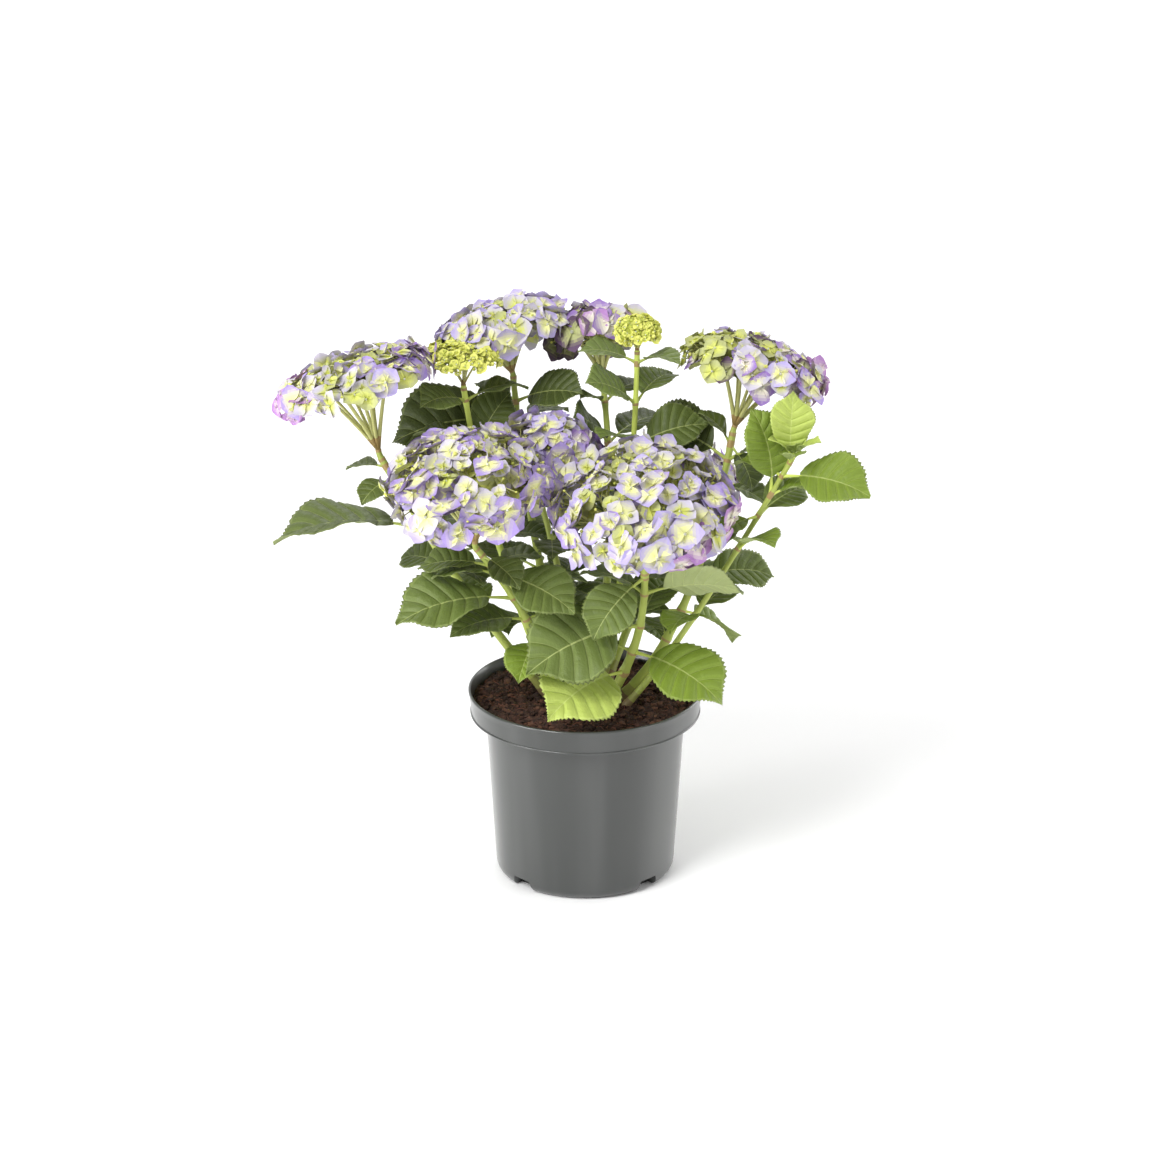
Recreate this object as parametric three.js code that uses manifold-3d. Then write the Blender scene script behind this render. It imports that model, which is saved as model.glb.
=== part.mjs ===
// Mophead hydrangea in a grey nursery pot: pot, soil, canes, leaves and flower heads. Millimetres, Z up.
// The pot stands on its flat underside, whose centre is the origin. The front of the plant faces -Y.
import * as THREE from "three";
import { mergeVertices } from "three/addons/utils/BufferGeometryUtils.js";
import Module from "manifold-3d";

const wasm = await Module();
wasm.setup();

// Corners closer than this are one, and edges shorter than a sliver are closed up after joining
const WELD = 1e-3;
const SLIVER = 0.05;

// Pot
const POT_HEIGHT = 190;
const RIM_RADIUS = 115;
const COLLAR_DEPTH = 24;
const COLLAR_FOOT_RADIUS = 112.5;
const NECK_RADIUS = 98.5;
const BASE_RADIUS = 88.6;
const FOOT_RADIUS = 80;
const CORNER = 11;
const WALL = 2.6;
const FLOOR = 5;
const HAUNCH_RADIUS = 64;
const HAUNCH_HEIGHT = 17;
const HAUNCH_EASE = 3;
const COLLAR_EASE = 4;
const STEP_EASE = 0.6;
const RIM_EASE = 5;
const POT_SIDES = 36;
const NOTCH_COUNT = 4;
const NOTCH_TURN = 45;
const NOTCH_HEIGHT = 12;
const NOTCH_TOP_WIDTH = 20;
const NOTCH_FOOT_WIDTH = 28;
const NOTCH_INNER_RADIUS = 74;

// Soil
const GAP = 0.3;
const SOIL_TOP = 181;
const SOIL_EDGE = 178;
const SOIL_FLAT_RADIUS = 70;
const SOIL_SPREAD = 0.8;

// Canes: they all start from one flat cut just above the soil
const CUT = SOIL_TOP + GAP;
const FLARE = 0.45;
const FLARE_SHARE = 0.1;
const TIP_TAPER = 0.62;
const CANE_SIDES = 6;
const CANE_STEP = 34;
const SPINE_STEP = 6;
const BOUGH_STOP = 8;
const TANGENT_STEP = 0.01;
const STEEP = 0.3;

// Leaves
const PETIOLE_SHARE = 0.2;
const PETIOLE_RADIUS = 1.7;
const BLADE_WIDTH = 0.38;
const BLADE_FOOT = 0.75;
const BLADE_TIP = 0.82;
const BLADE_THICKNESS = 1.8;
const LEAF_ROWS = [0, 0.05, PETIOLE_SHARE, 0.34, 0.56, 0.82, 1];
const FOLD = 0.16;
const SAG = 34;
const PARTNER_SAG = 46;
const PARTNER_SWING = 24;

// Leaf spacing
const CLEAR = 4;
const HEAD_CLEAR = 5;
const LEAF_REACH = 0.62;
const LEAF_MIDDLE = 0.6;
const LEAF_POINT_STEP = 6;
const LEAF_SLICE = 0.1;
const SLICE_REACH = 0.06;
const CONE_SHARE = 0.7;
const CONE_FOOT = 0.15;
const RISE_STEPS = [0, 9, -9, 18, -18, 27, -27];
const TURN_STEPS = [0, 8, -8, 16, -16, 24, -24, 32, -32];

// Flower heads
const FLORET_RADIUS = 15.5;
const FLORET_FRONT = 1.2;
const FLORET_TILT = 0.16;
const FLORET_SMALLEST = 0.9;
const FLORET_SPREAD = 0.16;
const FLORET_DRIFT = 0.3;
const FLORET_SINK = 0.05;
const FLORET_UP = new THREE.Vector3(0.31, 0.95, 0);
const GOLDEN_TURN = Math.PI * (3 - Math.sqrt(5));
const CORE_SIDES = 8;
const CORE_RINGS = 5;
const CORE_SHARE = 0.88;
const CORE_UNDERSIDE = 0.35;
const CORE_SINK = 8;
const RAY_COUNT = 5;
const RAY_SIDES = 3;
const RAY_RADIUS = 1.9;
const RAY_TAPER = 0.1;
const RAY_SPREAD = 0.5;
const FORK_SHARE = 0.12;
const BALL_MARGIN = 8;
const BALL_SIDES = 12;
const BALL_RINGS = 8;

// What sets the draws of each cane and head apart
const NAME_SEED = 97;
const PAIR_SEED = 13;
const PARTNER_SEED = 7;
const HEAD_SEED = 31;

// Each cane is one arc through its foot, waist and hub. A leaf pair is
// [share of the cane, turn, rise, length, roll, length of the opposite leaf].
// A head is the centre of its dome with the dome's radius, height and floret count and size, and its
// skirt is how far down from the dome's top the florets reach.
const CANES = {
  front_left: {
    foot: [-20, -18], waist: [-55, -39, 274], hub: [-104, -60, 358], radius: 4.6,
    pairs: [
      [0.40, -107, -22, 64, -14, 50],
      [0.52, -153, 0, 84, -14, 60],
      [0.66, -160, -4, 122, -12, 78],
      [0.82, -31, -14, 92, 32, 66],
      [0.88, 168, -6, 74, -10, 58],
      [0.95, -40, -24, 54, 20, 44],
    ],
    head: { centre: [-110, -70, 423], radius: 79, dome: 51, florets: 28, size: 1.12, skirt: 108 },
  },
  front_right: {
    foot: [22, -16], waist: [50, -37, 256], hub: [57, -60, 334], radius: 5.2,
    pairs: [
      [0.24, -133, -2, 128, -30, 66],
      [0.40, -36, -14, 112, 24, 74],
      [0.60, -146, -8, 134, -40, 84],
      [0.84, -12, 8, 100, -50, 70],
      [0.96, -141, -36, 82, -26, 56],
    ],
    head: { centre: [57, -80, 406], radius: 87, dome: 51, florets: 29, size: 1.14, skirt: 108 },
  },
  centre: {
    foot: [-4, -3], waist: [-20, -4, 286], hub: [-42, 2, 380], radius: 4.4,
    pairs: [
      [0.30, 100, 10, 78, 0, 60],
      [0.55, -70, -8, 74, 0, 70],
      [0.80, 60, 6, 70, 0, 56],
    ],
    head: { centre: [-36, 2, 428], radius: 49, dome: 40, florets: 14, size: 1.16, skirt: 108 },
  },
  left: {
    foot: [-36, 2], waist: [-118, -8, 298], hub: [-196, 0, 428], radius: 4.8,
    pairs: [
      [0.36, 118, 8, 84, 0, 52],
      [0.58, 142, -2, 66, -20, 56],
      [0.74, -166, 2, 152, 4, 74],
      [0.93, -134, -19, 46, -10, 40],
      [0.97, 161, -8, 44, 0, 44],
    ],
    head: { centre: [-219, 8, 502], radius: 78, dome: 26, florets: 21, size: 1.08, skirt: 96 },
  },
  right: {
    foot: [33, -8], waist: [98, -6, 284], hub: [143, 30, 444], radius: 5,
    pairs: [
      [0.34, -80, 4, 66, 0, 54],
      [0.46, 34, -34, 82, 10, 60],
      [0.58, 14, -2, 84, 24, 62],
      [0.74, 128, 6, 92, -20, 64],
      [0.86, 150, -4, 80, -36, 52],
      [0.93, 153, 16, 96, -40, 84],
      [0.97, -46, -50, 52, 0, 46],
    ],
    head: { centre: [161, 42, 501], radius: 74, dome: 35, florets: 22, size: 1.08, skirt: 98 },
  },
  back_left: {
    foot: [-17, 22], waist: [-50, 52, 332], hub: [-70, 80, 485], radius: 4.8,
    pairs: [
      [0.38, 150, 6, 92, 0, 84],
      [0.62, 96, 4, 96, 0, 60],
      [0.86, -162, -6, 128, -46, 60],
      [0.92, -32, 16, 82, 30, 54],
    ],
    head: { centre: [-81, 88, 525], radius: 67, dome: 32, florets: 19, size: 1.08, skirt: 96 },
  },
  back: {
    foot: [8, 26], waist: [24, 50, 330], hub: [17, 72, 484], radius: 4.6,
    pairs: [
      [0.40, 20, 8, 88, 0, 80],
      [0.64, 74, 6, 90, 0, 52],
      [0.80, -158, 20, 70, -30, 78],
      [0.93, -134, 22, 38, 0, 56],
    ],
    head: { centre: [12, 92, 521], radius: 48, dome: 29, florets: 12, size: 1.14, skirt: 96 },
  },
  bud_left: {
    foot: [-31, 15], waist: [-84, 26, 330], hub: [-117, 32, 489], radius: 4.4,
    pairs: [
      [0.52, 170, 4, 80, 0, 62],
      [0.80, 20, 20, 70, 30, 66],
      [0.96, -162, 20, 66, -20, 66],
    ],
    head: { centre: [-118, 31, 519], radius: 41, dome: 16, florets: 19, size: 0.7, skirt: 96 },
  },
  bud_right: {
    foot: [16, 8], waist: [40, 22, 345], hub: [50, 25, 528], radius: 4,
    pairs: [
      [0.56, -12, 12, 76, 0, 60],
      [0.74, 40, 16, 78, 40, 64],
      [0.86, -138, 30, 74, -30, 66],
      [0.97, 152, 24, 60, -10, 54],
    ],
    head: { centre: [50, 23, 546], radius: 23, dome: 17, florets: 9, size: 0.7, skirt: 96 },
  },
  young_right: {
    foot: [40, -25], waist: [106, -28, 276], hub: [198, -42, 444], radius: 3.8,
    pairs: [
      [0.50, 60, 10, 72, 0, 60],
      [0.74, 118, 62, 100, -20, 66],
      [0.84, 40, 14, 66, 20, 62],
      [0.90, 150, 78, 90, -50, 50],
      [0.95, -24, -4, 92, 36, 60],
      [0.985, 84, 60, 70, 30, 40],
    ],
  },
  rear_left: {
    foot: [-36, 38], waist: [-68, 102, 262], hub: [-96, 138, 316], radius: 4.6,
    pairs: [
      [0.30, 62, -8, 96, 0, 70],
      [0.50, 168, -4, 108, 0, 72],
      [0.72, 84, 2, 108, 0, 66],
      [0.92, 160, -12, 84, 0, 70],
    ],
    head: { centre: [-102, 146, 358], radius: 66, dome: 42, florets: 20, size: 1.14, skirt: 108 },
  },
  rear_right: {
    foot: [22, 36], waist: [58, 104, 254], hub: [84, 144, 306], radius: 4.6,
    pairs: [
      [0.30, 118, -8, 94, 0, 66],
      [0.50, 8, -4, 106, 0, 70],
      [0.72, 96, 2, 102, 0, 72],
      [0.92, 20, -12, 88, 0, 66],
    ],
    head: { centre: [88, 150, 350], radius: 66, dome: 42, florets: 20, size: 1.14, skirt: 108 },
  },
};

const UP = new THREE.Vector3(0, 0, 1);
const { degToRad, lerp } = THREE.MathUtils;

const material = (name, color, roughness) => new THREE.MeshStandardMaterial({ name, color, roughness });
const LOOKS = {
  pot: () => material("pot plastic", 0x686b68, 0.35),
  soil: () => material("potting soil", 0x43302a, 0.95),
  stem: () => material("cane bark", 0x9aa65a, 0.6),
  leaves: () => material("leaf green", 0x66763a, 0.55),
  bloom: () => material("petal lilac", 0xb9b2dc, 0.6),
};

// Solids are joined and cut on their bare positions
function toSolid(geometry) {
  const bare = new THREE.BufferGeometry();
  bare.setAttribute("position", geometry.getAttribute("position"));
  bare.setIndex(geometry.getIndex());
  const welded = mergeVertices(bare, WELD);
  const triangles = [];
  const index = welded.getIndex().array;
  for (let i = 0; i < index.length; i += 3) {
    const [a, b, c] = [index[i], index[i + 1], index[i + 2]];
    if (a !== b && b !== c && c !== a) triangles.push(a, b, c);
  }
  const vertProperties = new Float32Array(welded.getAttribute("position").array);
  const mesh = new wasm.Mesh({ numProp: 3, vertProperties, triVerts: new Uint32Array(triangles) });
  return new wasm.Manifold(mesh);
}

// Only the largest piece is kept, so loose scraps go and sealed hollows fill
function mainBody(solid) {
  const pieces = solid.decompose();
  pieces.sort((a, b) => b.volume() - a.volume());
  return pieces[0];
}

function toMesh(name, solid, look) {
  const { vertProperties, triVerts } = solid.simplify(SLIVER).getMesh();
  const geometry = new THREE.BufferGeometry();
  geometry.setAttribute("position", new THREE.BufferAttribute(new Float32Array(vertProperties), 3));
  geometry.setIndex(new THREE.BufferAttribute(new Uint32Array(triVerts), 1));
  geometry.computeVertexNormals();
  const mesh = new THREE.Mesh(geometry, look());
  mesh.name = name;
  return mesh;
}

function lathe(profile, sides) {
  const points = profile.map(([radius, height]) => new THREE.Vector2(radius, height));
  return toSolid(new THREE.LatheGeometry(points, sides).rotateX(Math.PI / 2));
}

function seeded(seed) {
  let state = seed >>> 0;
  return () => {
    state = (Math.imul(state, 1664525) + 1013904223) >>> 0;
    return state / 4294967296;
  };
}

// A round bar bent along a curve; its first ring can be turned to face a given way
function limb(pointAt, radiusAt, sides, rings, firstFacing) {
  const geometry = new THREE.CylinderGeometry(1, 1, 1, sides, rings);
  const position = geometry.getAttribute("position");
  for (let i = 0; i < position.count; i += 1) {
    const share = 0.5 - position.getY(i);
    const t = Math.min(Math.max(share, 0), 1);
    const centre = pointAt(t);
    const ahead = pointAt(Math.min(t + TANGENT_STEP, 1));
    const facing = ahead.sub(pointAt(Math.max(t - TANGENT_STEP, 0))).normalize();
    if (firstFacing && t < 1e-6) facing.copy(firstFacing);
    const side = new THREE.Vector3(1, 0, 0).cross(facing);
    if (side.length() < STEEP) side.set(0, 1, 0).cross(facing);
    side.normalize();
    const front = facing.clone().cross(side);
    const radius = radiusAt(t);
    centre.addScaledVector(side, position.getX(i) * radius);
    centre.addScaledVector(front, position.getZ(i) * radius);
    position.setXYZ(i, centre.x, centre.y, centre.z);
  }
  return toSolid(geometry);
}

function caneCurve({ foot, waist, hub }) {
  const start = new THREE.Vector3(foot[0], foot[1], CUT);
  const end = new THREE.Vector3(...hub);
  const handle = new THREE.Vector3(...waist).multiplyScalar(2);
  handle.addScaledVector(start, -0.5).addScaledVector(end, -0.5);
  return new THREE.QuadraticBezierCurve3(start, handle, end);
}

function caneRadius(cane, t) {
  const flare = 1 + FLARE * Math.max(0, 1 - t / FLARE_SHARE) ** 2;
  return cane.radius * lerp(1, TIP_TAPER, t) * flare;
}

// A leaf's midrib is an arc in an upright plane that falls by its sag from base to tip
function leafFrame({ base, turn, rise, size, roll, sag }, share) {
  const bend = degToRad(sag);
  const start = degToRad(rise) + bend / 2;
  const pitch = start - bend * share;
  const out = (size * (Math.sin(start) - Math.sin(pitch))) / bend;
  const up = (size * (Math.cos(pitch) - Math.cos(start))) / bend;
  const heading = new THREE.Vector3(Math.cos(degToRad(turn)), Math.sin(degToRad(turn)), 0);
  const centre = base.clone().addScaledVector(heading, out).addScaledVector(UP, up);
  const along = heading.clone().multiplyScalar(Math.cos(pitch)).addScaledVector(UP, Math.sin(pitch));
  const side = UP.clone().cross(heading).applyAxisAngle(along, degToRad(roll));
  const face = along.clone().cross(side);
  return { centre, along, side, face };
}

// Half width of the blade at a share of its own length, widest a little before the middle
function bladeWidth(size, share) {
  const outline = (at) => at ** BLADE_FOOT * (1 - at) ** BLADE_TIP;
  const widest = BLADE_FOOT / (BLADE_FOOT + BLADE_TIP);
  return (BLADE_WIDTH * (1 - PETIOLE_SHARE) * size * outline(share)) / outline(widest);
}

// Petiole and blade are one four-sided skin: left edge, upper midrib, right edge, lower midrib
function leafSolid(leaf) {
  const geometry = new THREE.SphereGeometry(1, 4, LEAF_ROWS.length - 1);
  const position = geometry.getAttribute("position");
  for (let i = 0; i < position.count; i += 1) {
    const belt = Math.hypot(position.getX(i), position.getZ(i));
    const row = Math.round((Math.acos(position.getY(i)) / Math.PI) * (LEAF_ROWS.length - 1));
    const share = LEAF_ROWS[row];
    const { centre, side, face } = leafFrame(leaf, share);
    if (belt > 1e-6) {
      const [across, through] = [position.getX(i) / belt, position.getZ(i) / belt];
      const onBlade = share > PETIOLE_SHARE;
      const bladeShare = (share - PETIOLE_SHARE) / (1 - PETIOLE_SHARE);
      const half = onBlade ? bladeWidth(leaf.size, bladeShare) : PETIOLE_RADIUS;
      const thick = onBlade ? BLADE_THICKNESS / 2 : PETIOLE_RADIUS;
      centre.addScaledVector(side, across * half);
      centre.addScaledVector(face, through * thick + (onBlade ? Math.abs(across) * half * FOLD : 0));
    }
    position.setXYZ(i, centre.x, centre.y, centre.z);
  }
  return toSolid(geometry);
}

// Sample points round a leaf's edge and along its midrib
function leafPoints(leaf) {
  const points = [];
  const steps = Math.ceil(leaf.size / LEAF_POINT_STEP);
  for (let i = 1; i <= steps; i += 1) {
    const share = i / steps;
    const { centre, side, face } = leafFrame(leaf, lerp(PETIOLE_SHARE, 1, share));
    const half = bladeWidth(leaf.size, share);
    for (const across of [-1, -0.5, 0, 0.5, 1]) {
      const lift = Math.abs(across) * half * FOLD;
      points.push(centre.clone().addScaledVector(side, across * half).addScaledVector(face, lift));
    }
  }
  return points;
}

function touchesBlade(point, leaf) {
  if (point.distanceTo(leaf.middle) > leaf.size * LEAF_REACH) return false;
  for (const frame of leaf.frames) {
    const offset = point.clone().sub(frame.centre);
    if (Math.abs(offset.dot(frame.along)) > leaf.size * SLICE_REACH) continue;
    const across = Math.abs(offset.dot(frame.side));
    if (across > frame.half + CLEAR / 2) continue;
    if (Math.abs(offset.dot(frame.face) - across * FOLD) < CLEAR) return true;
  }
  return false;
}

function touchesCane(point, cane) {
  return cane.spine.some(({ centre, radius }) => point.distanceTo(centre) < radius + CLEAR);
}

// The space of a flower head: the dome's whole ball, and the cone of rays from the hub up to it
function insideHead(point, head, margin) {
  const offset = point.clone().sub(head.middle);
  const height = offset.dot(head.axis);
  const spread = Math.sqrt(Math.max(offset.lengthSq() - height * height, 0));
  const ball = (spread / (head.radius + margin)) ** 2 + (height / (head.dome + margin)) ** 2;
  if (ball < 1) return true;
  const climb = (height + head.reach) / head.reach;
  return climb > CONE_FOOT && climb < 1 && spread < climb * head.radius * CONE_SHARE;
}

function insidePot(point) {
  const overSoil = Math.hypot(point.x, point.y) < COLLAR_FOOT_RADIUS - WALL * 3;
  return point.z < (overSoil ? SOIL_TOP : POT_HEIGHT) + CLEAR;
}

function prepareLeaf(leaf) {
  leaf.frames = [];
  for (let share = LEAF_SLICE / 2; share < 1; share += LEAF_SLICE) {
    const frame = leafFrame(leaf, lerp(PETIOLE_SHARE, 1, share));
    leaf.frames.push({ ...frame, half: bladeWidth(leaf.size, share) });
  }
  leaf.middle = leafFrame(leaf, LEAF_MIDDLE).centre;
  leaf.points = leafPoints(leaf);
  return leaf;
}

function isFree(leaf, placed, canes, heads) {
  const reach = (other) => (other.size + leaf.size) * LEAF_REACH;
  const near = placed.filter((other) => other.middle.distanceTo(leaf.middle) < reach(other));
  return !leaf.points.some((point) => insidePot(point)
      || heads.some((head) => insideHead(point, head, HEAD_CLEAR))
      || canes.some((cane) => touchesCane(point, cane))
      || near.some((other) => touchesBlade(point, other)))
    && !near.some((other) => other.points.some((point) => touchesBlade(point, leaf)));
}

// A leaf that would touch something is turned aside in small steps, and left out if no step is free
function settle(wish, placed, canes, heads) {
  for (const lift of RISE_STEPS) {
    for (const swing of TURN_STEPS) {
      const leaf = prepareLeaf({ ...wish, turn: wish.turn + swing, rise: wish.rise + lift });
      if (isFree(leaf, placed, canes, heads)) {
        placed.push(leaf);
        return leaf;
      }
    }
  }
  return null;
}

function prepareCanes() {
  return Object.entries(CANES).map(([name, row]) => {
    const curve = caneCurve(row);
    const cane = { ...row, name, curve, length: curve.getLength(), leaves: [] };
    cane.spine = [];
    const steps = Math.ceil(cane.length / SPINE_STEP);
    for (let i = 0; i <= steps; i += 1) {
      cane.spine.push({ centre: curve.getPoint(i / steps), radius: caneRadius(row, i / steps) });
    }
    if (row.head) {
      const middle = new THREE.Vector3(...row.head.centre);
      const axis = middle.clone().sub(curve.getPoint(1));
      const reach = axis.length();
      cane.headSpace = { ...row.head, middle, axis: axis.normalize(), reach };
    }
    return cane;
  });
}

function growLeaves(canes) {
  const placed = [];
  const heads = canes.filter((cane) => cane.headSpace).map((cane) => cane.headSpace);
  for (const partner of [false, true]) {
    for (const cane of canes) {
      const seed = cane.name.length * NAME_SEED + cane.pairs.length * PAIR_SEED;
      const random = seeded(seed + (partner ? PARTNER_SEED : 0));
      for (const [at, turn, rise, length, roll, opposite] of cane.pairs) {
        const base = cane.curve.getPoint(at);
        const jitter = random() - 0.5;
        const across = { turn: turn + 180 + jitter * PARTNER_SWING, rise: Math.abs(rise) / 2, roll: 0 };
        const wish = partner
          ? { base, ...across, size: opposite, sag: PARTNER_SAG }
          : { base, turn, rise, roll, size: length, sag: SAG };
        const leaf = settle(wish, placed, canes, heads);
        if (leaf) cane.leaves.push(leaf);
      }
    }
  }
}

// A floret is four sepals, one to a corner, and a funnel behind them that runs back into the core
function floretSolid(centre, facing, radius, depth, twist) {
  const geometry = new THREE.SphereGeometry(1, 4, 2);
  const position = geometry.getAttribute("position");
  const side = FLORET_UP.clone().cross(facing).normalize();
  const front = facing.clone().cross(side);
  for (let i = 0; i < position.count; i += 1) {
    const [x, y, z] = [position.getX(i), position.getY(i), position.getZ(i)];
    const spread = Math.abs(y) > 0.5 ? 0 : radius;
    const angle = Math.atan2(z, x) + twist;
    const height = y > 0.5 ? FLORET_FRONT : Math.min(0, y) * depth;
    const point = centre.clone().addScaledVector(facing, Math.abs(y) > 0.5 ? height : 0);
    point.addScaledVector(side, spread * Math.cos(angle)).addScaledVector(front, -spread * Math.sin(angle));
    position.setXYZ(i, point.x, point.y, point.z);
  }
  return toSolid(geometry);
}

const straight = (from, to) => (t) => from.clone().lerp(to, t);

function headFrame({ middle, axis, radius, dome }) {
  const side = new THREE.Vector3(1, 0, 0).cross(axis).normalize();
  const front = axis.clone().cross(side);
  return (theta, azimuth, scale) => middle.clone()
    .addScaledVector(side, Math.cos(azimuth) * Math.sin(theta) * radius * scale)
    .addScaledVector(front, Math.sin(azimuth) * Math.sin(theta) * radius * scale)
    .addScaledVector(axis, Math.cos(theta) * dome * scale);
}

// The dome's inner part, round above and nearly flat below
function coreSolid(onDome) {
  const geometry = new THREE.SphereGeometry(1, CORE_SIDES, CORE_RINGS);
  const position = geometry.getAttribute("position");
  for (let i = 0; i < position.count; i += 1) {
    const theta = Math.acos(Math.min(Math.max(position.getY(i), -1), 1));
    const azimuth = Math.atan2(-position.getZ(i), position.getX(i));
    const point = onDome(theta, azimuth, CORE_SHARE);
    const mirrored = onDome(Math.PI - theta, azimuth, CORE_SHARE);
    if (theta > Math.PI / 2) point.lerp(mirrored, (1 - CORE_UNDERSIDE) / 2);
    position.setXYZ(i, point.x, point.y, point.z);
  }
  return toSolid(geometry);
}

// The ball a head takes up, from which later heads are kept clear
function spaceSolid(head) {
  const geometry = new THREE.SphereGeometry(1, BALL_SIDES, BALL_RINGS);
  const position = geometry.getAttribute("position");
  const onDome = headFrame({ ...head, radius: head.radius + BALL_MARGIN, dome: head.dome + BALL_MARGIN });
  for (let i = 0; i < position.count; i += 1) {
    const theta = Math.acos(Math.min(Math.max(position.getY(i), -1), 1));
    const point = onDome(theta, Math.atan2(-position.getZ(i), position.getX(i)), 1);
    position.setXYZ(i, point.x, point.y, point.z);
  }
  return toSolid(geometry);
}

// Rays fork from the hub up into the core, and the florets stand out from it by the golden angle
function bloomSolid(cane, earlierHeads) {
  const head = cane.headSpace;
  const random = seeded(Math.round(head.radius * HEAD_SEED + head.florets));
  const tangent = cane.curve.getTangent(1);
  const start = cane.curve.getPoint(1).addScaledVector(tangent, GAP);
  const fork = cane.curve.getPoint(1).lerp(head.middle, FORK_SHARE);
  const bend = start.clone().addScaledVector(tangent, start.distanceTo(fork) / 2);
  const stalk = new THREE.QuadraticBezierCurve3(start, bend, fork);
  const stalkRadius = caneRadius(cane, 1);
  const onDome = headFrame(head);
  const parts = [coreSolid(onDome)];
  parts.push(limb((t) => stalk.getPoint(t), () => stalkRadius, CANE_SIDES, 2, tangent));
  const root = fork.clone().addScaledVector(head.axis, -1);
  for (let i = 0; i < RAY_COUNT; i += 1) {
    const tip = onDome(Math.PI / 2, (i / RAY_COUNT) * Math.PI * 2, RAY_SPREAD);
    const thickness = (t) => RAY_RADIUS * lerp(1 + RAY_TAPER, 1 - RAY_TAPER, t);
    parts.push(limb(straight(root, tip), thickness, RAY_SIDES, 1));
  }
  const low = Math.cos(degToRad(head.skirt));
  for (let k = 0; k < head.florets; k += 1) {
    const theta = Math.acos(1 - ((1 - low) * (k + 0.5)) / head.florets);
    const azimuth = k * GOLDEN_TURN + (random() - 0.5) * FLORET_DRIFT;
    const scale = 1 - FLORET_SINK * (1 - random());
    const centre = onDome(theta, azimuth, scale);
    const facing = centre.clone().sub(head.middle);
    const height = facing.dot(head.axis);
    const depth = facing.length() * (1 - CORE_SHARE / scale) + CORE_SINK;
    facing.multiplyScalar(1 / head.radius ** 2);
    facing.addScaledVector(head.axis, height * (1 / head.dome ** 2 - 1 / head.radius ** 2)).normalize();
    facing.x += (random() - 0.5) * FLORET_TILT;
    facing.z += (random() - 0.5) * FLORET_TILT;
    facing.normalize();
    const radius = FLORET_RADIUS * head.size * (FLORET_SMALLEST + random() * FLORET_SPREAD);
    const twist = random() * Math.PI;
    if (earlierHeads.some((other) => insideHead(centre, other, radius))) continue;
    parts.push(floretSolid(centre, facing, radius, depth, twist));
  }
  const whole = wasm.Manifold.union(parts);
  return mainBody(earlierHeads.reduce((solid, other) => solid.subtract(spaceSolid(other)), whole));
}

function bladesSolid(cane) {
  const lowest = Math.min(...cane.pairs.map(([at]) => at)) - BOUGH_STOP / cane.length;
  const part = (from, to) => (t) => cane.curve.getPoint(lerp(from, to, t));
  const reach = (from, to) => (t) => caneRadius(cane, lerp(from, to, t));
  const rings = (share) => Math.max(2, Math.round((cane.length * share) / CANE_STEP));
  const next = cane.curve.getPoint(lowest + TANGENT_STEP);
  const speed = cane.curve.getPoint(lowest).distanceTo(next) / TANGENT_STEP;
  const start = lowest + GAP / speed;
  const facing = cane.curve.getTangent(lowest);
  const bough = limb(part(0, lowest), reach(0, lowest), CANE_SIDES, rings(lowest) + 1, UP);
  const stem = limb(part(start, 1), reach(start, 1), CANE_SIDES, rings(1 - lowest), facing);
  return { bough, mass: mainBody(wasm.Manifold.union([stem, ...cane.leaves.map(leafSolid)])) };
}

function potSolid() {
  const collarFoot = POT_HEIGHT - COLLAR_DEPTH;
  const profile = [[0, 0], [FOOT_RADIUS, 0]];
  for (const angle of [30, 60]) {
    const spread = (BASE_RADIUS - FOOT_RADIUS) * Math.sin(degToRad(angle));
    profile.push([FOOT_RADIUS + spread, CORNER * (1 - Math.cos(degToRad(angle)))]);
  }
  profile.push(
    [BASE_RADIUS, CORNER], [NECK_RADIUS - STEP_EASE, collarFoot - COLLAR_EASE],
    [NECK_RADIUS + STEP_EASE, collarFoot - STEP_EASE],
    [COLLAR_FOOT_RADIUS - STEP_EASE, collarFoot - STEP_EASE],
    [COLLAR_FOOT_RADIUS, collarFoot + STEP_EASE], [RIM_RADIUS - STEP_EASE, POT_HEIGHT - RIM_EASE],
    [RIM_RADIUS, POT_HEIGHT - RIM_EASE / 2], [RIM_RADIUS - STEP_EASE, POT_HEIGHT - RIM_EASE / 10],
    [RIM_RADIUS - WALL, POT_HEIGHT], [COLLAR_FOOT_RADIUS - WALL, collarFoot + WALL],
    [NECK_RADIUS - WALL, collarFoot + WALL - STEP_EASE], [BASE_RADIUS - WALL, HAUNCH_HEIGHT],
    [HAUNCH_RADIUS, FLOOR], [0, FLOOR],
  );
  const trapezoid = new THREE.Shape([
    new THREE.Vector2(-NOTCH_FOOT_WIDTH / 2, -1),
    new THREE.Vector2(NOTCH_FOOT_WIDTH / 2, -1),
    new THREE.Vector2(NOTCH_TOP_WIDTH / 2, NOTCH_HEIGHT),
    new THREE.Vector2(-NOTCH_TOP_WIDTH / 2, NOTCH_HEIGHT),
  ]);
  let pot = lathe(profile, POT_SIDES);
  for (let i = 0; i < NOTCH_COUNT; i += 1) {
    const depth = RIM_RADIUS - NOTCH_INNER_RADIUS;
    const cutter = new THREE.ExtrudeGeometry(trapezoid, { depth, bevelEnabled: false });
    cutter.translate(0, 0, NOTCH_INNER_RADIUS).rotateX(Math.PI / 2);
    cutter.rotateZ(degToRad(NOTCH_TURN + (360 / NOTCH_COUNT) * i));
    pot = pot.subtract(toSolid(cutter));
  }
  return pot;
}

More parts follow.
